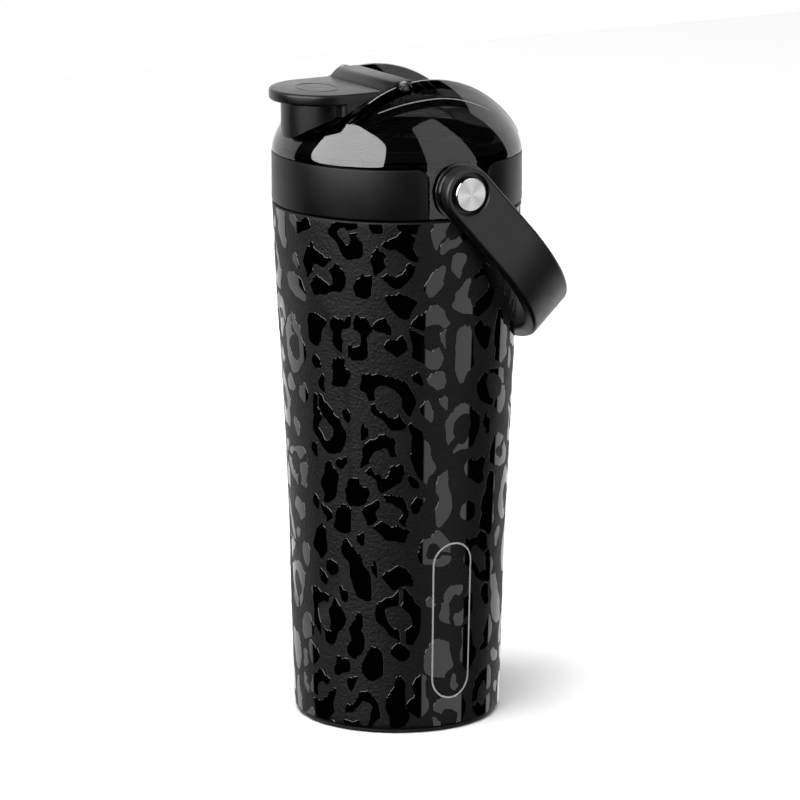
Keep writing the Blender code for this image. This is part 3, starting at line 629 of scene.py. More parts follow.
def spots(mat):
    """Marching squares over the spot field, wrapped on the body as thin raised patches."""
    field, us, zs = spot_field()
    rows, columns = field.shape
    grad_z, grad_u = np.gradient(field)
    key_to_vert, params, faces = {}, [], []

    def corner(j, i):
        key = (j, i % columns)
        if key not in key_to_vert:
            key_to_vert[key] = len(params)
            params.append((us[key[1]], zs[j], 0.0, 0.0))
        return key_to_vert[key]

    def crossing(j0, i0, j1, i1):
        i0w, i1w = i0 % columns, i1 % columns
        key = ((j0, i0w), (j1, i1w)) if (j0, i0) < (j1, i1) else ((j1, i1w), (j0, i0w))
        if key not in key_to_vert:
            a, b = field[j0, i0w], field[j1, i1w]
            t = min(0.97, max(0.03, a / (a - b)))
            u = (i0 + (i1 - i0) * t) * CELL
            z = zs[j0] + (zs[j1] - zs[j0]) * t
            gu, gz = grad_u[j0, i0w], grad_z[j0, i0w]
            size = math.hypot(gu, gz) or 1.0
            key_to_vert[key] = len(params)
            params.append((u, z, -gu / size, -gz / size))
        return key_to_vert[key]

    inside = field > 0
    for j in range(rows - 1):
        any_inside = inside[j] | inside[j + 1]
        any_inside |= np.roll(any_inside, -1)
        for i in np.nonzero(any_inside)[0]:
            loop = ((j, i), (j, i + 1), (j + 1, i + 1), (j + 1, i))
            state = [inside[a, b % columns] for a, b in loop]
            if not any(state):
                continue
            face = []
            for k in range(4):
                here, there = loop[k], loop[(k + 1) % 4]
                if state[k]:
                    face.append(corner(*here))
                if state[k] != state[(k + 1) % 4]:
                    face.append(crossing(*here, *there))
            faces.append(tuple(face))
    params = np.array(params)
    edge_use = {}
    for f in faces:
        for a, b in zip(f, f[1:] + f[:1]):
            edge_use[(a, b)] = edge_use.get((a, b), 0) + 1
    rim_edges = [(a, b) for a, b in edge_use if (b, a) not in edge_use]
    angle = params[:, 0] / PATTERN_RADIUS
    top = on_wall(angle, params[:, 1], SPOT_HEIGHT)
    rim = sorted({v for e in rim_edges for v in e})
    index = {v: len(params) + n for n, v in enumerate(rim)}
    out = params[rim]
    length = np.hypot(out[:, 2], out[:, 3])
    length[length == 0] = 1
    skirt_angle = angle[rim] + out[:, 2] / length * SPOT_SKIRT / PATTERN_RADIUS
    skirt_z = np.clip(out[:, 1] + out[:, 3] / length * SPOT_SKIRT, zs[0] - 0.2 * MM, zs[-1] + 0.2 * MM)
    skirt = on_wall(skirt_angle, skirt_z, -0.04 * MM)
    faces += [(b, a, index[a], index[b]) for a, b in rim_edges]
    mesh = bpy.data.meshes.new("body_spots")
    mesh.from_pydata(np.vstack([top, skirt]).tolist(), [], faces)
    shade(mesh, math.radians(20))
    return finish_object(mesh, "body_spots", mat, "bottle")


def plain_mark(mat):
    """A plain long outline with round ends printed low on the body."""
    centre_angle, centre_z = math.radians(91), 41 * MM
    half_w, half_h, line = 7.9 * MM, 29 * MM, 0.6 * MM

    def outline(inset):
        r = half_w - inset
        straight = half_h - half_w
        points = arc((0, straight), r, 0, 180, 24)
        return points + arc((0, -straight), r, 180, 360, 24)

    levels = ((0, -0.03), (0, 0.10), (line, 0.10), (line, -0.03))     # inset, then mm off the wall
    rows = []
    for inset, _ in levels:
        pts = np.array(outline(inset))
        dense = []
        for a, b in zip(pts, np.roll(pts, -1, axis=0)):
            pieces = max(1, int(np.linalg.norm(b - a) / (1.0 * MM)))
            dense += [a + (b - a) * k / pieces for k in range(pieces)]
        rows.append(dense)
    count = min(len(r) for r in rows)
    wrapped = []
    for (_, out), dense in zip(levels, rows):
        pts = np.array(dense[:count])
        angle = centre_angle + pts[:, 0] / wall_radius(np.full(len(pts), centre_z))
        wrapped.append([tuple(p) for p in on_wall(angle, centre_z + pts[:, 1], out * MM)])
    verts, faces = loft(wrapped, caps=False)
    return finish_object(mesh_from("plain_mark", verts, faces), "plain_mark", mat, "bottle")


# ---------- lid ----------

def dome_height(r):
    return DOME_Z + DOME_HEIGHT * np.maximum(0.0, 1 - (r / LID_RADIUS) ** 2) ** DOME_POWER


def dome_profile(radius, base_z, height, start_radius, steps):
    first = math.asin(start_radius / radius)
    points = []
    for i in range(steps + 1):
        r = radius * math.sin(first * (1 - i / steps))
        points.append((r, base_z + height * (1 - (r / radius) ** 2) ** DOME_POWER))
    return points


def channel_floor(y):
    fall = CHANNEL_FALL_FRONT if y < CHANNEL_CREST_Y else CHANNEL_FALL_REAR
    return CHANNEL_TOP_Z - fall * (y - CHANNEL_CREST_Y) ** 2


def channel_outline(drop, reach, steps=60):
    points = []
    for i in range(steps + 1):
        y = reach * (2 * i / steps - 1)
        points.append((y, channel_floor(y) - drop))
    top = DOME_Z + DOME_HEIGHT + 10 * MM
    return points + [(reach, top), (-reach, top)]


def band_outline(grow):
    edge = -WINDOW_HALF_WIDTH + grow
    top = band_high.z + grow
    corner = WINDOW_CORNER + grow
    low, far = lid_low.z - 3 * MM, -(COLLAR_RADIUS + 10 * MM)
    return [(far, low), (edge, low)] + arc((edge - corner, top - corner), corner, 0, 90, 16) + [(far, top)]


def ear_outline():
    """(y, z) outline of the boss round the hinge pin."""
    return ([(HINGE_Y - EAR_RADIUS, EAR_BOTTOM_Z), (HINGE_Y + EAR_RADIUS, EAR_BOTTOM_Z)]
            + arc((HINGE_Y, HINGE_Z), EAR_RADIUS, 0, 180, 24))


def lid(mat):
    """Smoked lid: dome, channel, ears, spout and skirt."""
    low = lid_low.z
    outside = [(0, low), (LID_RADIUS - 0.3 * MM, low), (LID_RADIUS, low + 0.3 * MM), (LID_RADIUS, DOME_Z)]
    outside += dome_profile(LID_RADIUS, DOME_Z, DOME_HEIGHT, 44.48 * MM, 40)
    cavity = [(0, low - 3 * MM), (SKIRT_BORE, low - 3 * MM), (SKIRT_BORE, LEDGE_Z), (PLUG_RADIUS, LEDGE_Z),
              (PLUG_RADIUS, PLUG_BOTTOM_Z), (PLUG_BORE, PLUG_BOTTOM_Z), (PLUG_BORE, LEDGE_TOP_Z)]
    cavity += dome_profile(CAVITY_RADIUS, CAVITY_Z, CAVITY_HEIGHT, 41.45 * MM, 32)
    half = CHANNEL_HALF_WIDTH
    wall = half + CHANNEL_WALL
    hollow = combine(lathe("hollow", cavity, 160), [
        (prism("channel_wall", channel_outline(CHANNEL_WALL, 50 * MM), -wall, wall), "DIFFERENCE")])
    spout_mid = 9.35 * MM
    lip = 0.6 * MM
    spout = rounded([(SPOUT_BORE, SPOUT_BOTTOM_Z), (SPOUT_RADIUS, SPOUT_BOTTOM_Z),
                     (SPOUT_RADIUS, SPOUT_TOP_Z), (SPOUT_BORE, SPOUT_TOP_Z), (SPOUT_BORE, 213.4 * MM)], lip)
    core = [(0, 180 * MM), (42.9 * MM, 180 * MM), (42.9 * MM, 215 * MM), (0, 215 * MM)]
    tools = [(prism("channel", channel_outline(0, 50 * MM), -half, half), "DIFFERENCE")]
    for a, b in ((-EAR_OUTER_X, -half), (half, EAR_OUTER_X)):
        tools.append((prism("ear", ear_outline(), a, b), "UNION"))
    tools.append((hollow, "DIFFERENCE"))
    tools.append((lathe("hole", [(0, 205 * MM), (spout_mid, 205 * MM), (spout_mid, 240 * MM), (0, 240 * MM)],
                        72, centre=(0, SPOUT_Y, 0)), "DIFFERENCE"))
    tools.append((lathe("tube", spout, 80, centre=(0, SPOUT_Y, 0)), "UNION"))
    for sign in (1, -1):
        outline = [(sign * y, z) for y, z in band_outline(0.3 * MM)]
        block = prism("pocket", outline, -60 * MM, 60 * MM)
        pocket = combine(block, [(lathe("core", core, 176), "DIFFERENCE")])
        tools.append((pocket, "DIFFERENCE"))
    for side in (1, -1):
        bore = [(0, 41.9 * MM), (5.0 * MM, 41.9 * MM), (5.0 * MM, 47 * MM), (0, 47 * MM)]
        tools.append((lathe("bore", bore, 48, "X", (0, 0, PIVOT_Z), side), "DIFFERENCE"))
    head, seat, end = PIN_HEAD + 0.3 * MM, 21.2 * MM, 27 * MM
    pin = [(0, -end), (head, -end), (head, -seat), (PIN_HOLE, -seat), (PIN_HOLE, seat), (head, seat),
           (head, end), (0, end)]
    tools.append((lathe("pin", pin, 40, "X", (0, HINGE_Y, HINGE_Z)), "DIFFERENCE"))
    mesh = combine(lathe("lid", outside, FINE), tools)
    return finish_object(mesh, "lid_dome", mat, "lid", ("lid_shell",))


def tube_along(path, radius, sides=8):
    """Rows of a thin round bead along a path of points."""
    rows = []
    pts = [Vector(p) for p in path]
    for i, p in enumerate(pts):
        ahead = (pts[min(i + 1, len(pts) - 1)] - pts[max(i - 1, 0)]).normalized()
        side = Vector((1, 0, 0))
        up = ahead.cross(side).normalized()
        rows.append([tuple(p + (side * math.cos(a) + up * math.sin(a)) * radius)
                     for a in (2 * math.pi * k / sides for k in range(sides))])
    return loft(rows)


def joined(parts):
    """One pair of vertex and face lists out of several."""
    verts, faces = [], []
    for v, f in parts:
        faces.extend(tuple(k + len(verts) for k in face) for face in f)
        verts.extend(v)
    return verts, faces


def moulded_line(side):
    """Fine raised line on a lobe's outside that follows the channel's floor. In the light grey crest material
    it is a painted highlight line for the floor's edge.
    """
    path = []
    swing, climb = math.radians(30), math.radians(11)
    towards = Vector((side * math.cos(swing), -math.sin(swing), math.tan(climb)))
    for y in np.linspace(-19, 26, 70) * MM:
        start = Vector((side * CHANNEL_HALF_WIDTH, y, channel_floor(y)))
        near, far = 0.0, 40 * MM
        for _ in range(24):
            middle = (near + far) / 2
            p = start + towards * middle
            if p.z < float(dome_height(math.hypot(p.x, p.y))):
                near = middle
            else:
                far = middle
        path.append(start + towards * near)
    return tube_along(path, 0.16 * MM)


def lid_edges(crest_highlight_mat, floor_highlight_mat):
    """Rounded rims on the crests of the two lobes, and the rims and small ribs of the channel's floor. Their
    light grey gloss is a painted highlight that makes them show as bright lines on the dark smoked lid.
    """
    crests, floors = [], []
    for side in (1, -1):
        x = side * (CHANNEL_HALF_WIDTH + 0.10 * MM)
        for start, end in ((-23, -12.2), (-5.8, 38)):
            ys = np.linspace(start, end, 60) * MM
            crests.append(tube_along([(x, y, float(dome_height(math.hypot(x, y))) - 0.12 * MM) for y in ys],
                                     0.22 * MM))
        inner = side * (CHANNEL_HALF_WIDTH - 0.05 * MM)
        ys = np.linspace(-33, 33, 90) * MM
        floors.append(tube_along([(inner, y, channel_floor(y) + 0.02 * MM) for y in ys], 0.38 * MM))
        for y in (-14, -5.5, 1.0, 4.5):
            z = channel_floor(y * MM) + 0.1 * MM
            ends = np.linspace(side * 15.6 * MM, side * 20.0 * MM, 5)
            floors.append(loft([[(x, y * MM + 0.32 * MM * math.cos(a), z + 0.32 * MM * math.sin(a))
                                 for a in (2 * math.pi * k / 8 for k in range(8))] for x in ends]))
    crests += [moulded_line(side) for side in (1, -1)]
    for name, beads, mat in (("lid_edges", crests, crest_highlight_mat), ("floor_edges", floors, floor_highlight_mat)):
        finish_object(mesh_from(name, *joined(beads)), name, mat, "lid")


def lid_lining(mat):
    """Black band inside the foot of the dome."""
    def edge(z, inset):
        up = max(0.0, z - CAVITY_Z) / CAVITY_HEIGHT
        return CAVITY_RADIUS * math.sqrt(1 - up ** (1 / DOME_POWER)) - inset
    levels = [z * MM for z in (208.2, 209, 210, 211, 211.6)]
    profile = [(edge(z, 0.3 * MM), z) for z in levels] + [(edge(z, 0.7 * MM), z) for z in reversed(levels)]
    return finish_object(lathe("lid_lining", profile), "lid_lining", mat, "lid")


def collar_band(name, sign, mat, node):
    """Curved band with rounded upper corners and softened edges."""
    bottom, top = band_low.z, band_high.z
    end = math.acos(WINDOW_HALF_WIDTH / COLLAR_RADIUS)
    edge = 0.45 * MM
    corner = WINDOW_CORNER
    width = end * COLLAR_RADIUS
    fine = [edge * (1 - math.cos(math.radians(a))) for a in (0, 15, 30, 45, 60, 75, 90)]
    fine += [corner * (1 - math.cos(math.radians(a))) for a in (30, 38, 46, 54, 62, 70, 78, 84, 90)]
    fine = sorted(set(round(v, 7) for v in fine))
    offsets = [-width + v for v in fine]
    offsets += list(np.linspace(-width + corner * 1.15, width - corner * 1.15, 120))
    offsets += [width - v for v in reversed(fine)]
    rows = []
    for u in offsets:
        inward = width - abs(u)
        drop = corner - math.sqrt(max(0.0, corner ** 2 - (corner - inward) ** 2)) if inward < corner else 0.0
        sink = edge - math.sqrt(max(0.0, edge ** 2 - (edge - inward) ** 2)) if inward < edge else 0.0
        outer = COLLAR_RADIUS - sink
        high = max(top - drop, bottom + 3 * edge)
        section = [(COLLAR_INNER_RADIUS, bottom)]
        section += arc((outer - edge, bottom + edge), edge, -90, 0, 4)
        section += arc((outer - edge, high - edge), edge, 0, 90, 4)
        section += [(COLLAR_INNER_RADIUS, high)]
        angle = u / COLLAR_RADIUS
        rows.append([(r * math.sin(angle), -sign * r * math.cos(angle), z) for r, z in section])
    return finish_object(mesh_from(name, *loft(rows)), name, mat, "lid", (node,))


# ---------- flip cap ----------

def tongue(inset, rear):
    """(x, y) outline of the cap's plate, moved inwards by an inset."""
    half = CAP_HALF_WIDTH - inset
    return arc((0, SPOUT_Y), half, 180, 360, 72) + [(half, rear), (-half, rear)]


def stem(inset):
    """(x, y) outline of the sleeve, widening in a soft corner to the block behind it."""
    radius, half = COLUMN_RADIUS - inset, CAP_HALF_WIDTH - inset - 0.05 * MM
    corner = 2.2 * MM
    y = CAP_BLOCK_Y + corner
    neck = math.sqrt(max(0.0, radius ** 2 - (CAP_BLOCK_Y - 0.4 * MM - SPOUT_Y) ** 2))
    start = math.degrees(math.atan2(CAP_BLOCK_Y - 0.4 * MM - SPOUT_Y, -neck))
    points = arc((0, SPOUT_Y), radius, start % 360, 540 - start % 360, 72)
    right = arc((half - corner, y), corner, 270, 360, 8)
    left = [(-x, yy) for x, yy in reversed(right)]
    return points + right + [(half, CAP_REAR_Y), (-half, CAP_REAR_Y)] + left


def flip_cap(mat):
    """Thumb plate, sleeve, block and hinge bar."""
    edge = 1.1 * MM
    rows = []
    for a in (0, 20, 40, 60, 80, 90):
        t = math.radians(a)
        rows.append([(x, y, CAP_TOP_Z - edge + edge * math.cos(t)) for x, y in
                     tongue(edge * (1 - math.sin(t)), CAP_REAR_Y)])
    under = 0.9 * MM
    for a in (0, 30, 60, 90):
        t = math.radians(a)
        rows.append([(x, y, CAP_TOP_Z - CAP_PLATE + under - under * math.sin(t)) for x, y in
                     tongue(under * (1 - math.cos(t)), CAP_REAR_Y)])
    plate = mesh_from("flip_cap", *loft(rows))
    column = mesh_from("stem", *loft([[(x, y, z) for x, y in stem(0)] for z in (208 * MM, 227.9 * MM)]))
    under_side = [(-50, 208), (-46, 212.5), (-43.3, 215.8), (-41.3, 217.8), (-38.1, 219.7), (-34.5, 221.5),
                  (-30, 224.5), (-25.6, 226.8), (-21, 228.4), (-14, 228.4), (-14, 200), (-50, 200)]
    cut = prism("under", [(y * MM, z * MM) for y, z in under_side], -30 * MM, 30 * MM)
    bore_top = 226.4 * MM
    seat_r, seat_top = 15.0 * MM, 228.8 * MM
    seat = lathe("seat", [(0, CAP_SEAT_Z), (seat_r, CAP_SEAT_Z), (seat_r, seat_top), (0, seat_top)], 80,
                 centre=(0, SPOUT_Y, 0))
    bore = lathe("bore", [(0, 203 * MM), (COLUMN_BORE, 203 * MM), (COLUMN_BORE, bore_top), (0, bore_top)], 88,
                 centre=(0, SPOUT_Y, 0))
    web = [(-18.5 * MM, 227.2 * MM), (-9 * MM, 227.2 * MM), (-9 * MM, 230.1 * MM), (-18.5 * MM, 230.1 * MM)]
    r = 1.5 * MM
    front, rear, low, high = BAR_FRONT_Y, BAR_REAR_Y, BAR_BOTTOM_Z, BAR_TOP_Z
    outline = [(rear, high), (BAR_SLOPE_Y, high), (front, 230.9 * MM), (front, low), (rear, low)]
    bar = rounded_loop(outline, r, 8)
    half, soft = CAP_HALF_WIDTH, 0.5 * MM
    middle = ((front + rear) / 2, (low + high) / 2)
    bar_rows = []
    for x, shrink in ((-half, soft), (-half + 0.15 * MM, 0.15 * MM), (-half + soft, 0), (half - soft, 0),
                      (half - 0.15 * MM, 0.15 * MM), (half, soft)):
        scale_y = 1 - shrink / ((rear - front) / 2)
        scale_z = 1 - shrink / ((high - low) / 2)
        bar_rows.append([(x, middle[0] + (y - middle[0]) * scale_y, middle[1] + (z - middle[1]) * scale_z)
                         for y, z in bar])
    pin = [(0, -30 * MM), (PIN_HOLE, -30 * MM), (PIN_HOLE, 30 * MM), (0, 30 * MM)]
    inset = half - 1.5 * MM
    mesh = combine(plate, [
        (combine(column, [(cut, "DIFFERENCE")]), "UNION"),
        (seat, "UNION"), (bore, "DIFFERENCE"),
        (prism("web", web, -inset, inset), "UNION"),
        (mesh_from("bar", *loft(bar_rows)), "UNION"),
        (lathe("pin", pin, 40, "X", (0, HINGE_Y, HINGE_Z)), "DIFFERENCE")])
    return finish_object(mesh, "flip_cap_shell", mat, "flip_cap", ("flip_cap",))


def cap_ridge(mat):
    """A plain oval ridge on the thumb plate."""
    rows = []
    for scale, up in ((1.0, -0.1), (0.99, 0.12), (0.93, 0.12), (0.92, -0.1)):
        outline = []
        for k in range(72):
            a = 2 * math.pi * k / 72
            outline.append((9.5 * MM * scale * math.cos(a), SPOUT_Y - 3 * MM + 7.0 * MM * scale * math.sin(a),
                            CAP_TOP_Z + up * MM))
        rows.append(outline)
    mesh = mesh_from("cap_ridge", *loft(rows, caps=False))
    return finish_object(mesh, "cap_ridge", mat, "flip_cap")


# ---------- loop and pivots ----------

def strap_section(half_width):
    half = STRAP_THICKNESS / 2
    r = min(STRAP_EDGE, 0.8 * half_width)
    points = []
    for out, across, start in ((half - r, half_width - r, 0), (r - half, half_width - r, 90),
                               (r - half, r - half_width, 180), (half - r, r - half_width, 270)):
        points += arc((out, across), r, start, start + 90, 6)
    return points


def strap(mat):
    """Moulded loop with round ends and a recess for each screw."""
    half = STRAP_WIDTH / 2
    leg = [(-half * math.sin(math.radians(a)), half * math.cos(math.radians(a)))
           for a in (84, 78, 72, 66, 60, 52, 44, 36, 28, 20, 12, 6)] + [(0, half)]
    leg += [(LOOP_STRAIGHT * t, half) for t in (0.25, 0.5, 0.75, 1.0)]
    stations = [((LOOP_RADIUS, s), (1, 0), w) for s, w in leg]
    bends = 120
    for i in range(1, bends):
        a = math.pi * i / bends
        stations.append(((LOOP_RADIUS * math.cos(a), LOOP_STRAIGHT + LOOP_RADIUS * math.sin(a)),
                         (math.cos(a), math.sin(a)), half))
    stations += [((-LOOP_RADIUS, s), (-1, 0), w) for s, w in reversed(leg)]
    along = Vector((0, math.cos(LOOP_ANGLE), -math.sin(LOOP_ANGLE)))
    across = Vector((0, math.sin(LOOP_ANGLE), math.cos(LOOP_ANGLE)))
    pivot = Vector((0, 0, PIVOT_Z))
    rows = []
    for (x, s), (out_x, out_s), half_width in stations:
        centre = pivot + Vector((x, 0, 0)) + along * s
        outward = Vector((out_x, 0, 0)) + along * out_s
        rows.append([tuple(centre + outward * a + across * b) for a, b in strap_section(half_width)])
    tools = []
    for side in (1, -1):
        hole = [(0, 44 * MM), (5.3 * MM, 44 * MM), (5.3 * MM, 49.1 * MM), (7.5 * MM, 49.1 * MM),
                (7.5 * MM, 51.2 * MM), (7.8 * MM, 51.52 * MM), (7.8 * MM, 54 * MM), (0, 54 * MM)]
        tools.append((lathe("hole", hole, ROUND, "X", (0, 0, PIVOT_Z), side), "DIFFERENCE"))
    mesh = combine(mesh_from("strap", *loft(rows)), tools)
    return finish_object(mesh, "carry_strap", mat, "handle", ("handle_strap",))


def pivot_pieces(face, side_wall, flange):
    """Screw and flanged bushing at each end of the loop."""
    tip, top = SCREW_TIP_X, screw_high.x
    radius = (screw_high.z - screw_low.z) / 2
    bevel = 0.7 * MM
    screw = [(0, tip), (2.8 * MM, tip), (SCREW_SHANK, tip + 0.4 * MM), (SCREW_SHANK, SCREW_HEAD_X),
             (radius, SCREW_HEAD_X), (radius, top - bevel)] + arc((radius - bevel, top - bevel), bevel, 0, 90, 5
             )
    screw += [(radius * k / 6, top) for k in range(5, -1, -1)]
    b0, b1 = bushing_low.x, bushing_high.x
    outer = (bushing_high.z - bushing_low.z) / 2
    step, collar_end = BUSHING_STEP, 46.0 * MM
    bushing = rounded([(3.5 * MM, b0), (outer, b0), (outer, BUSHING_STEP_X), (step, BUSHING_STEP_X),
                       (step, collar_end), (5.0 * MM, collar_end), (5.0 * MM, b1), (3.5 * MM, b1)], 0.2 * MM)
    for side, word in ((1, "right"), (-1, "left")):
        centre = (0, 0, PIVOT_Z)
        mesh = lathe("screw_" + word, screw, ROUND, "X", centre, side)
        obj = finish_object(mesh, "screw_" + word, [side_wall, face], "lid",
                            ("pivot_screw_" + word,))
        for poly in obj.data.polygons:
            if abs(poly.normal.x) > 0.98 and abs(poly.center.x) > top - 0.1 * MM:
                poly.material_index = 1
        mesh = lathe("bushing_" + word, bushing, ROUND, "X", centre, side)
        finish_object(mesh, "bushing_" + word, flange, "handle", ("pivot_bushing_" + word,))


def pin(mat):
    """Hinge pin with domed heads in the ears."""
    head, face, end, radius = PIN_HEAD, 21.5 * MM, pin_high.x, 1.1 * MM
    right = [(radius, face), (head, face), (head, end - 0.35 * MM), (head * 0.8, end - 0.1 * MM),
             (head * 0.45, end), (0, end)]
    profile = [(r, -x) for r, x in reversed(right)] + right
    mesh = lathe("pin_rod", profile, 48, "X", (0, HINGE_Y, HINGE_Z))
    return finish_object(mesh, "pin_rod", mat, "lid", ("hinge_pin",))


def foot(mat):
    """Silicone foot under the body."""
    r, top = (pad_high.x - pad_low.x) / 2, pad_high.z
    flange = 1.35 * MM
    profile = [(0, 0), (r - 0.9 * MM, 0), (r - 0.45 * MM, 0.12 * MM), (r - 0.2 * MM, 0.4 * MM), (r, flange),
               (35.3 * MM, flange), (35.3 * MM, top), (0, top)]
    return finish_object(lathe("foot", profile), "foot", mat, "bottle", ("base_pad",))


def steel_vessel(mat):
    """Liner with its rolled rim."""
    offset = 3.9 * MM
    bottom, neck_in, hip = 9.0 * MM, BODY_TOP_Z + 0.5 * MM, 180 * MM
    corner = 7 * MM
    side_z = bottom + corner
    low = float(wall_radius(side_z)) - offset
    profile = [(0, bottom)] + arc((low - corner, side_z), corner, -90, 0, 8)
    profile += [(float(wall_radius(z)) - offset, z) for z in (KNEE_Z, hip)]
    profile += [(NECK_RADIUS - 0.9 * MM, neck_in), (NECK_RADIUS - 0.9 * MM, NECK_TOP_Z + 0.3 * MM)]
    profile += [(NECK_RADIUS, NECK_TOP_Z + 0.3 * MM), (NECK_RADIUS + 0.1 * MM, rim_z - 0.8 * MM),
                (NECK_RADIUS - 0.1 * MM, rim_z - 0.3 * MM), (NECK_RADIUS - 0.6 * MM, rim_z),
                (38.6 * MM, rim_z), (38.25 * MM, rim_z - 0.2 * MM), (38.1 * MM, rim_z - 0.6 * MM),
                (38.1 * MM, neck_in - 0.2 * MM)]
    profile += [(float(wall_radius(z)) - offset - WALL, z) for z in (hip, KNEE_Z)]
    profile += arc((low - corner, side_z), corner - WALL, 0, -90, 8) + [(0, bottom + WALL)]
    return finish_object(lathe("steel_vessel", profile), "steel_vessel", mat, "bottle",
                         ("inner_vessel",))


def coat_cad_nodes(materials):
    """Give the CAD nodes that stay their materials."""
    for node, mat in materials.items():
        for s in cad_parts[node].material_slots:
            s.link = "OBJECT"
            s.material = mat


# ---------- stage ----------

def emitter(name, strength):
    mat = bpy.data.materials.new(name)
    mat.use_nodes = True
    tree = mat.node_tree
    tree.nodes.clear()
    out = tree.nodes.new("ShaderNodeOutputMaterial")
    light = tree.nodes.new("ShaderNodeEmission")
    light.inputs["Strength"].default_value = strength
    tree.links.new(light.outputs[0], out.inputs["Surface"])
    return mat


VIEW_AZIMUTH = 60                 # degrees; the camera looks from here


def light_mesh(name, verts, faces, strength):
    """Stage object that gives light and is not seen itself."""
    mesh = bpy.data.meshes.new(name)
    mesh.from_pydata(verts, [], faces)
    obj = bpy.data.objects.new(name, mesh)
    bpy.context.scene.collection.objects.link(obj)
    mesh.materials.append(emitter(name, strength))
    obj.visible_camera = False
    return obj


def studio_wall(name, start, end, low, high, distance, strength):
    """Upright curved light panel. Angles in degrees from the view's side, positive to its right."""
    rows = []
    steps = max(2, int(abs(end - start) / 4))
    for z in (low, high):
        row = []
        for i in range(steps + 1):
            a = math.radians(VIEW_AZIMUTH + start + (end - start) * i / steps)
            row.append((distance * math.sin(a), -distance * math.cos(a), z))
        rows.append(row)
    light_mesh(name, *loft(rows, closed_rows=False, caps=False), strength).visible_shadow = False


def panel(name, angle, distance, across, upright, strength, corner=0.0):
    """Flat upright light panel facing the bottle. across is measured to its right, upright is in z."""
    a = math.radians(VIEW_AZIMUTH + angle)
    centre, right = Vector((math.sin(a), -math.cos(a), 0)) * distance, Vector((math.cos(a), math.sin(a), 0))
    outline = list(zip((across[0], across[1], across[1], across[0]),
                       (upright[0], upright[0], upright[1], upright[1])))
    if corner:
        outline = rounded_loop(outline, corner, 12)
    verts = [tuple(centre + right * u + Vector((0, 0, z))) for u, z in outline]
    return light_mesh(name, verts, [tuple(range(len(outline)))], strength)


def top_light(name, angle, distance, height, size, strength):
    """Level square light over the bottle's side that only lights matte surfaces."""
    x, y, z = from_view(angle, distance, height)
    half = size / 2
    corners = ((-half, -half), (-half, half), (half, half), (half, -half))
    obj = light_mesh(name, [(x + u, y + v, z) for u, v in corners], [(0, 1, 2, 3)], strength)
    obj.visible_glossy = False
    obj.visible_transmission = False


def from_view(angle, distance, height):
    a = math.radians(VIEW_AZIMUTH + angle)
    return (distance * math.sin(a), -distance * math.cos(a), height)


def build_world():
    """White backdrop for the eye and through the smoked lid, dark for everything else."""
    world = bpy.data.worlds.new("studio")
    bpy.context.scene.world = world
    world.use_nodes = True
    tree = world.node_tree
    back = tree.nodes["Background"]
    path = tree.nodes.new("ShaderNodeLightPath")
    either = tree.nodes.new("ShaderNodeMath")
    either.operation = "MAXIMUM"
    tree.links.new(path.outputs["Is Camera Ray"], either.inputs[0])
    tree.links.new(path.outputs["Is Transmission Ray"], either.inputs[1])
    tree.links.new(either.outputs[0], back.inputs["Strength"])
    back.inputs["Color"].default_value = (1, 1, 1, 1)


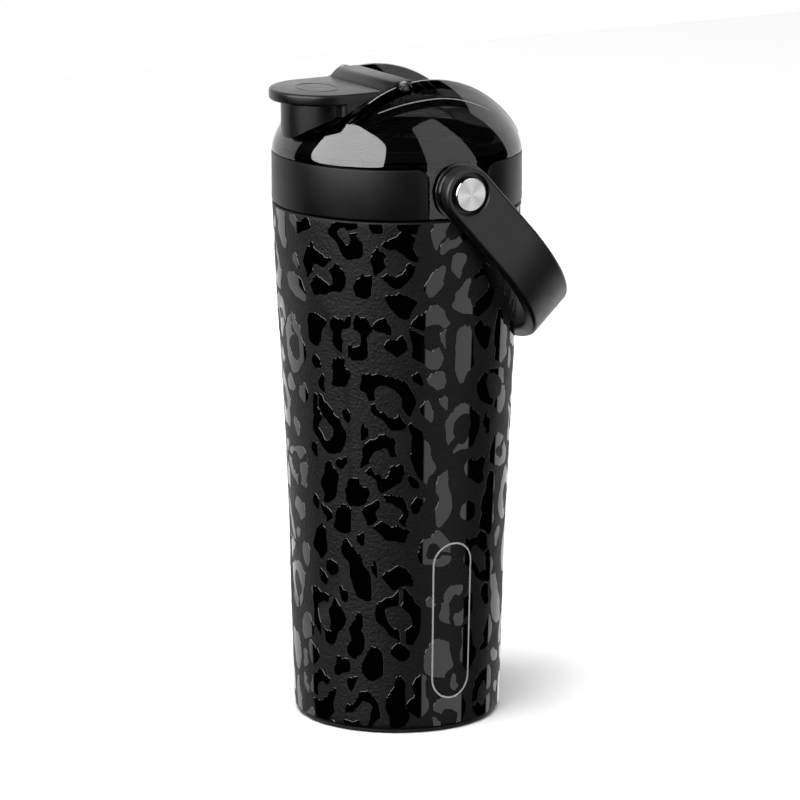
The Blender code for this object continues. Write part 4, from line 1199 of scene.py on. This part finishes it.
def build_stage():
    floor_mesh = bpy.data.meshes.new("floor")
    reach = 1.3
    corners = [(-reach, -reach, 0), (reach, -reach, 0), (reach, reach, 0), (-reach, reach, 0)]
    floor_mesh.from_pydata(corners, [], [(0, 1, 2, 3)])
    n = Nodes("floor", (0.9, 0.9, 0.9), 0.9)
    n.vary_roughness(n.noise(8, 2), 0.85, 0.95)
    floor_mesh.materials.append(n.mat)
    floor = bpy.data.objects.new("floor", floor_mesh)
    bpy.context.scene.collection.objects.link(floor)
    floor.visible_glossy = False
    floor.visible_diffuse = False
    studio_wall("wall_back", 121, 253, -2.0, 2.5, 2.6, 1.15)
    panel("panel_right", 52, 2.0, (-0.9, 0.95), (-1.2, 5.2), 1.4)
    panel("panel_left", -60, 2.0, (-1.05, 2.3), (0.03, 3.75), 9, 1.2).visible_diffuse = False
    top_light("panel_top", -35, 0.55, 2.1, 1.35, 13.9)


def build_camera():
    data = bpy.data.cameras.new("camera")
    data.lens = 221.4
    data.sensor_width = 36
    data.shift_x = 0.0041
    cam = bpy.data.objects.new("camera", data)
    bpy.context.scene.collection.objects.link(cam)
    cam.location = from_view(0, 1.7237, 0.5195)
    pitch = math.radians(13.235)
    cam.rotation_euler = (math.pi / 2 - pitch, 0, math.radians(VIEW_AZIMUTH))
    bpy.context.scene.camera = cam


# ---------- build ----------

def main():
    coat, gloss = powder_coat(), gloss_ink()
    trim = matte_plastic("matte_trim", 0.006, 0.36, 0.13)
    cap_plastic = matte_plastic("cap_plastic", 0.008, 0.30, 0.22)
    inner = matte_plastic("inner_plastic", 0.012, 0.35, 0.3)
    smoked = smoked_plastic()
    black_gloss = gloss_plastic("black_gloss", 0.01, 0.12)
    liner = polished_steel("liner_steel", 0.3)
    body_shell(coat)
    neck_thread(polished_steel("neck_steel", 0.25))
    spots(gloss)
    plain_mark(mark_ink())
    lid(smoked)
    # light grey crest and floor beads: painted highlight lines on the smoked lid
    lid_edges(gloss_plastic("crest_painted_highlight", 0.3, 0.12), gloss_plastic("floor_painted_highlight", 0.08, 0.12))
    lid_lining(inner)
    collar_band("band_front", 1, trim, "collar_front")
    collar_band("band_rear", -1, trim, "collar_rear")
    flip_cap(cap_plastic)
    cap_ridge(cap_plastic)
    strap(matte_plastic("strap_plastic", 0.012, 0.38, 0.34))
    pivot_pieces(spun_steel_painted_sheen(), polished_steel("screw_side", 0.12), black_gloss)
    pin(polished_steel("pin_steel", 0.3, 0.06))
    foot(silicone("foot_silicone", 0.012))
    steel_vessel(liner)
    seal = silicone("seal_silicone", 0.02)
    coat_cad_nodes({
        "base_cap": liner, "vacuum_seal": black_gloss, "vacuum_getter": liner, "lid_gasket": seal,
        "cap_seal": seal, "agitator": inner, "pivot_insert_left": brass(), "pivot_insert_right": brass()})
    build_world()
    build_stage()
    build_camera()
    bpy.context.scene.view_settings.view_transform = "Standard"


main()
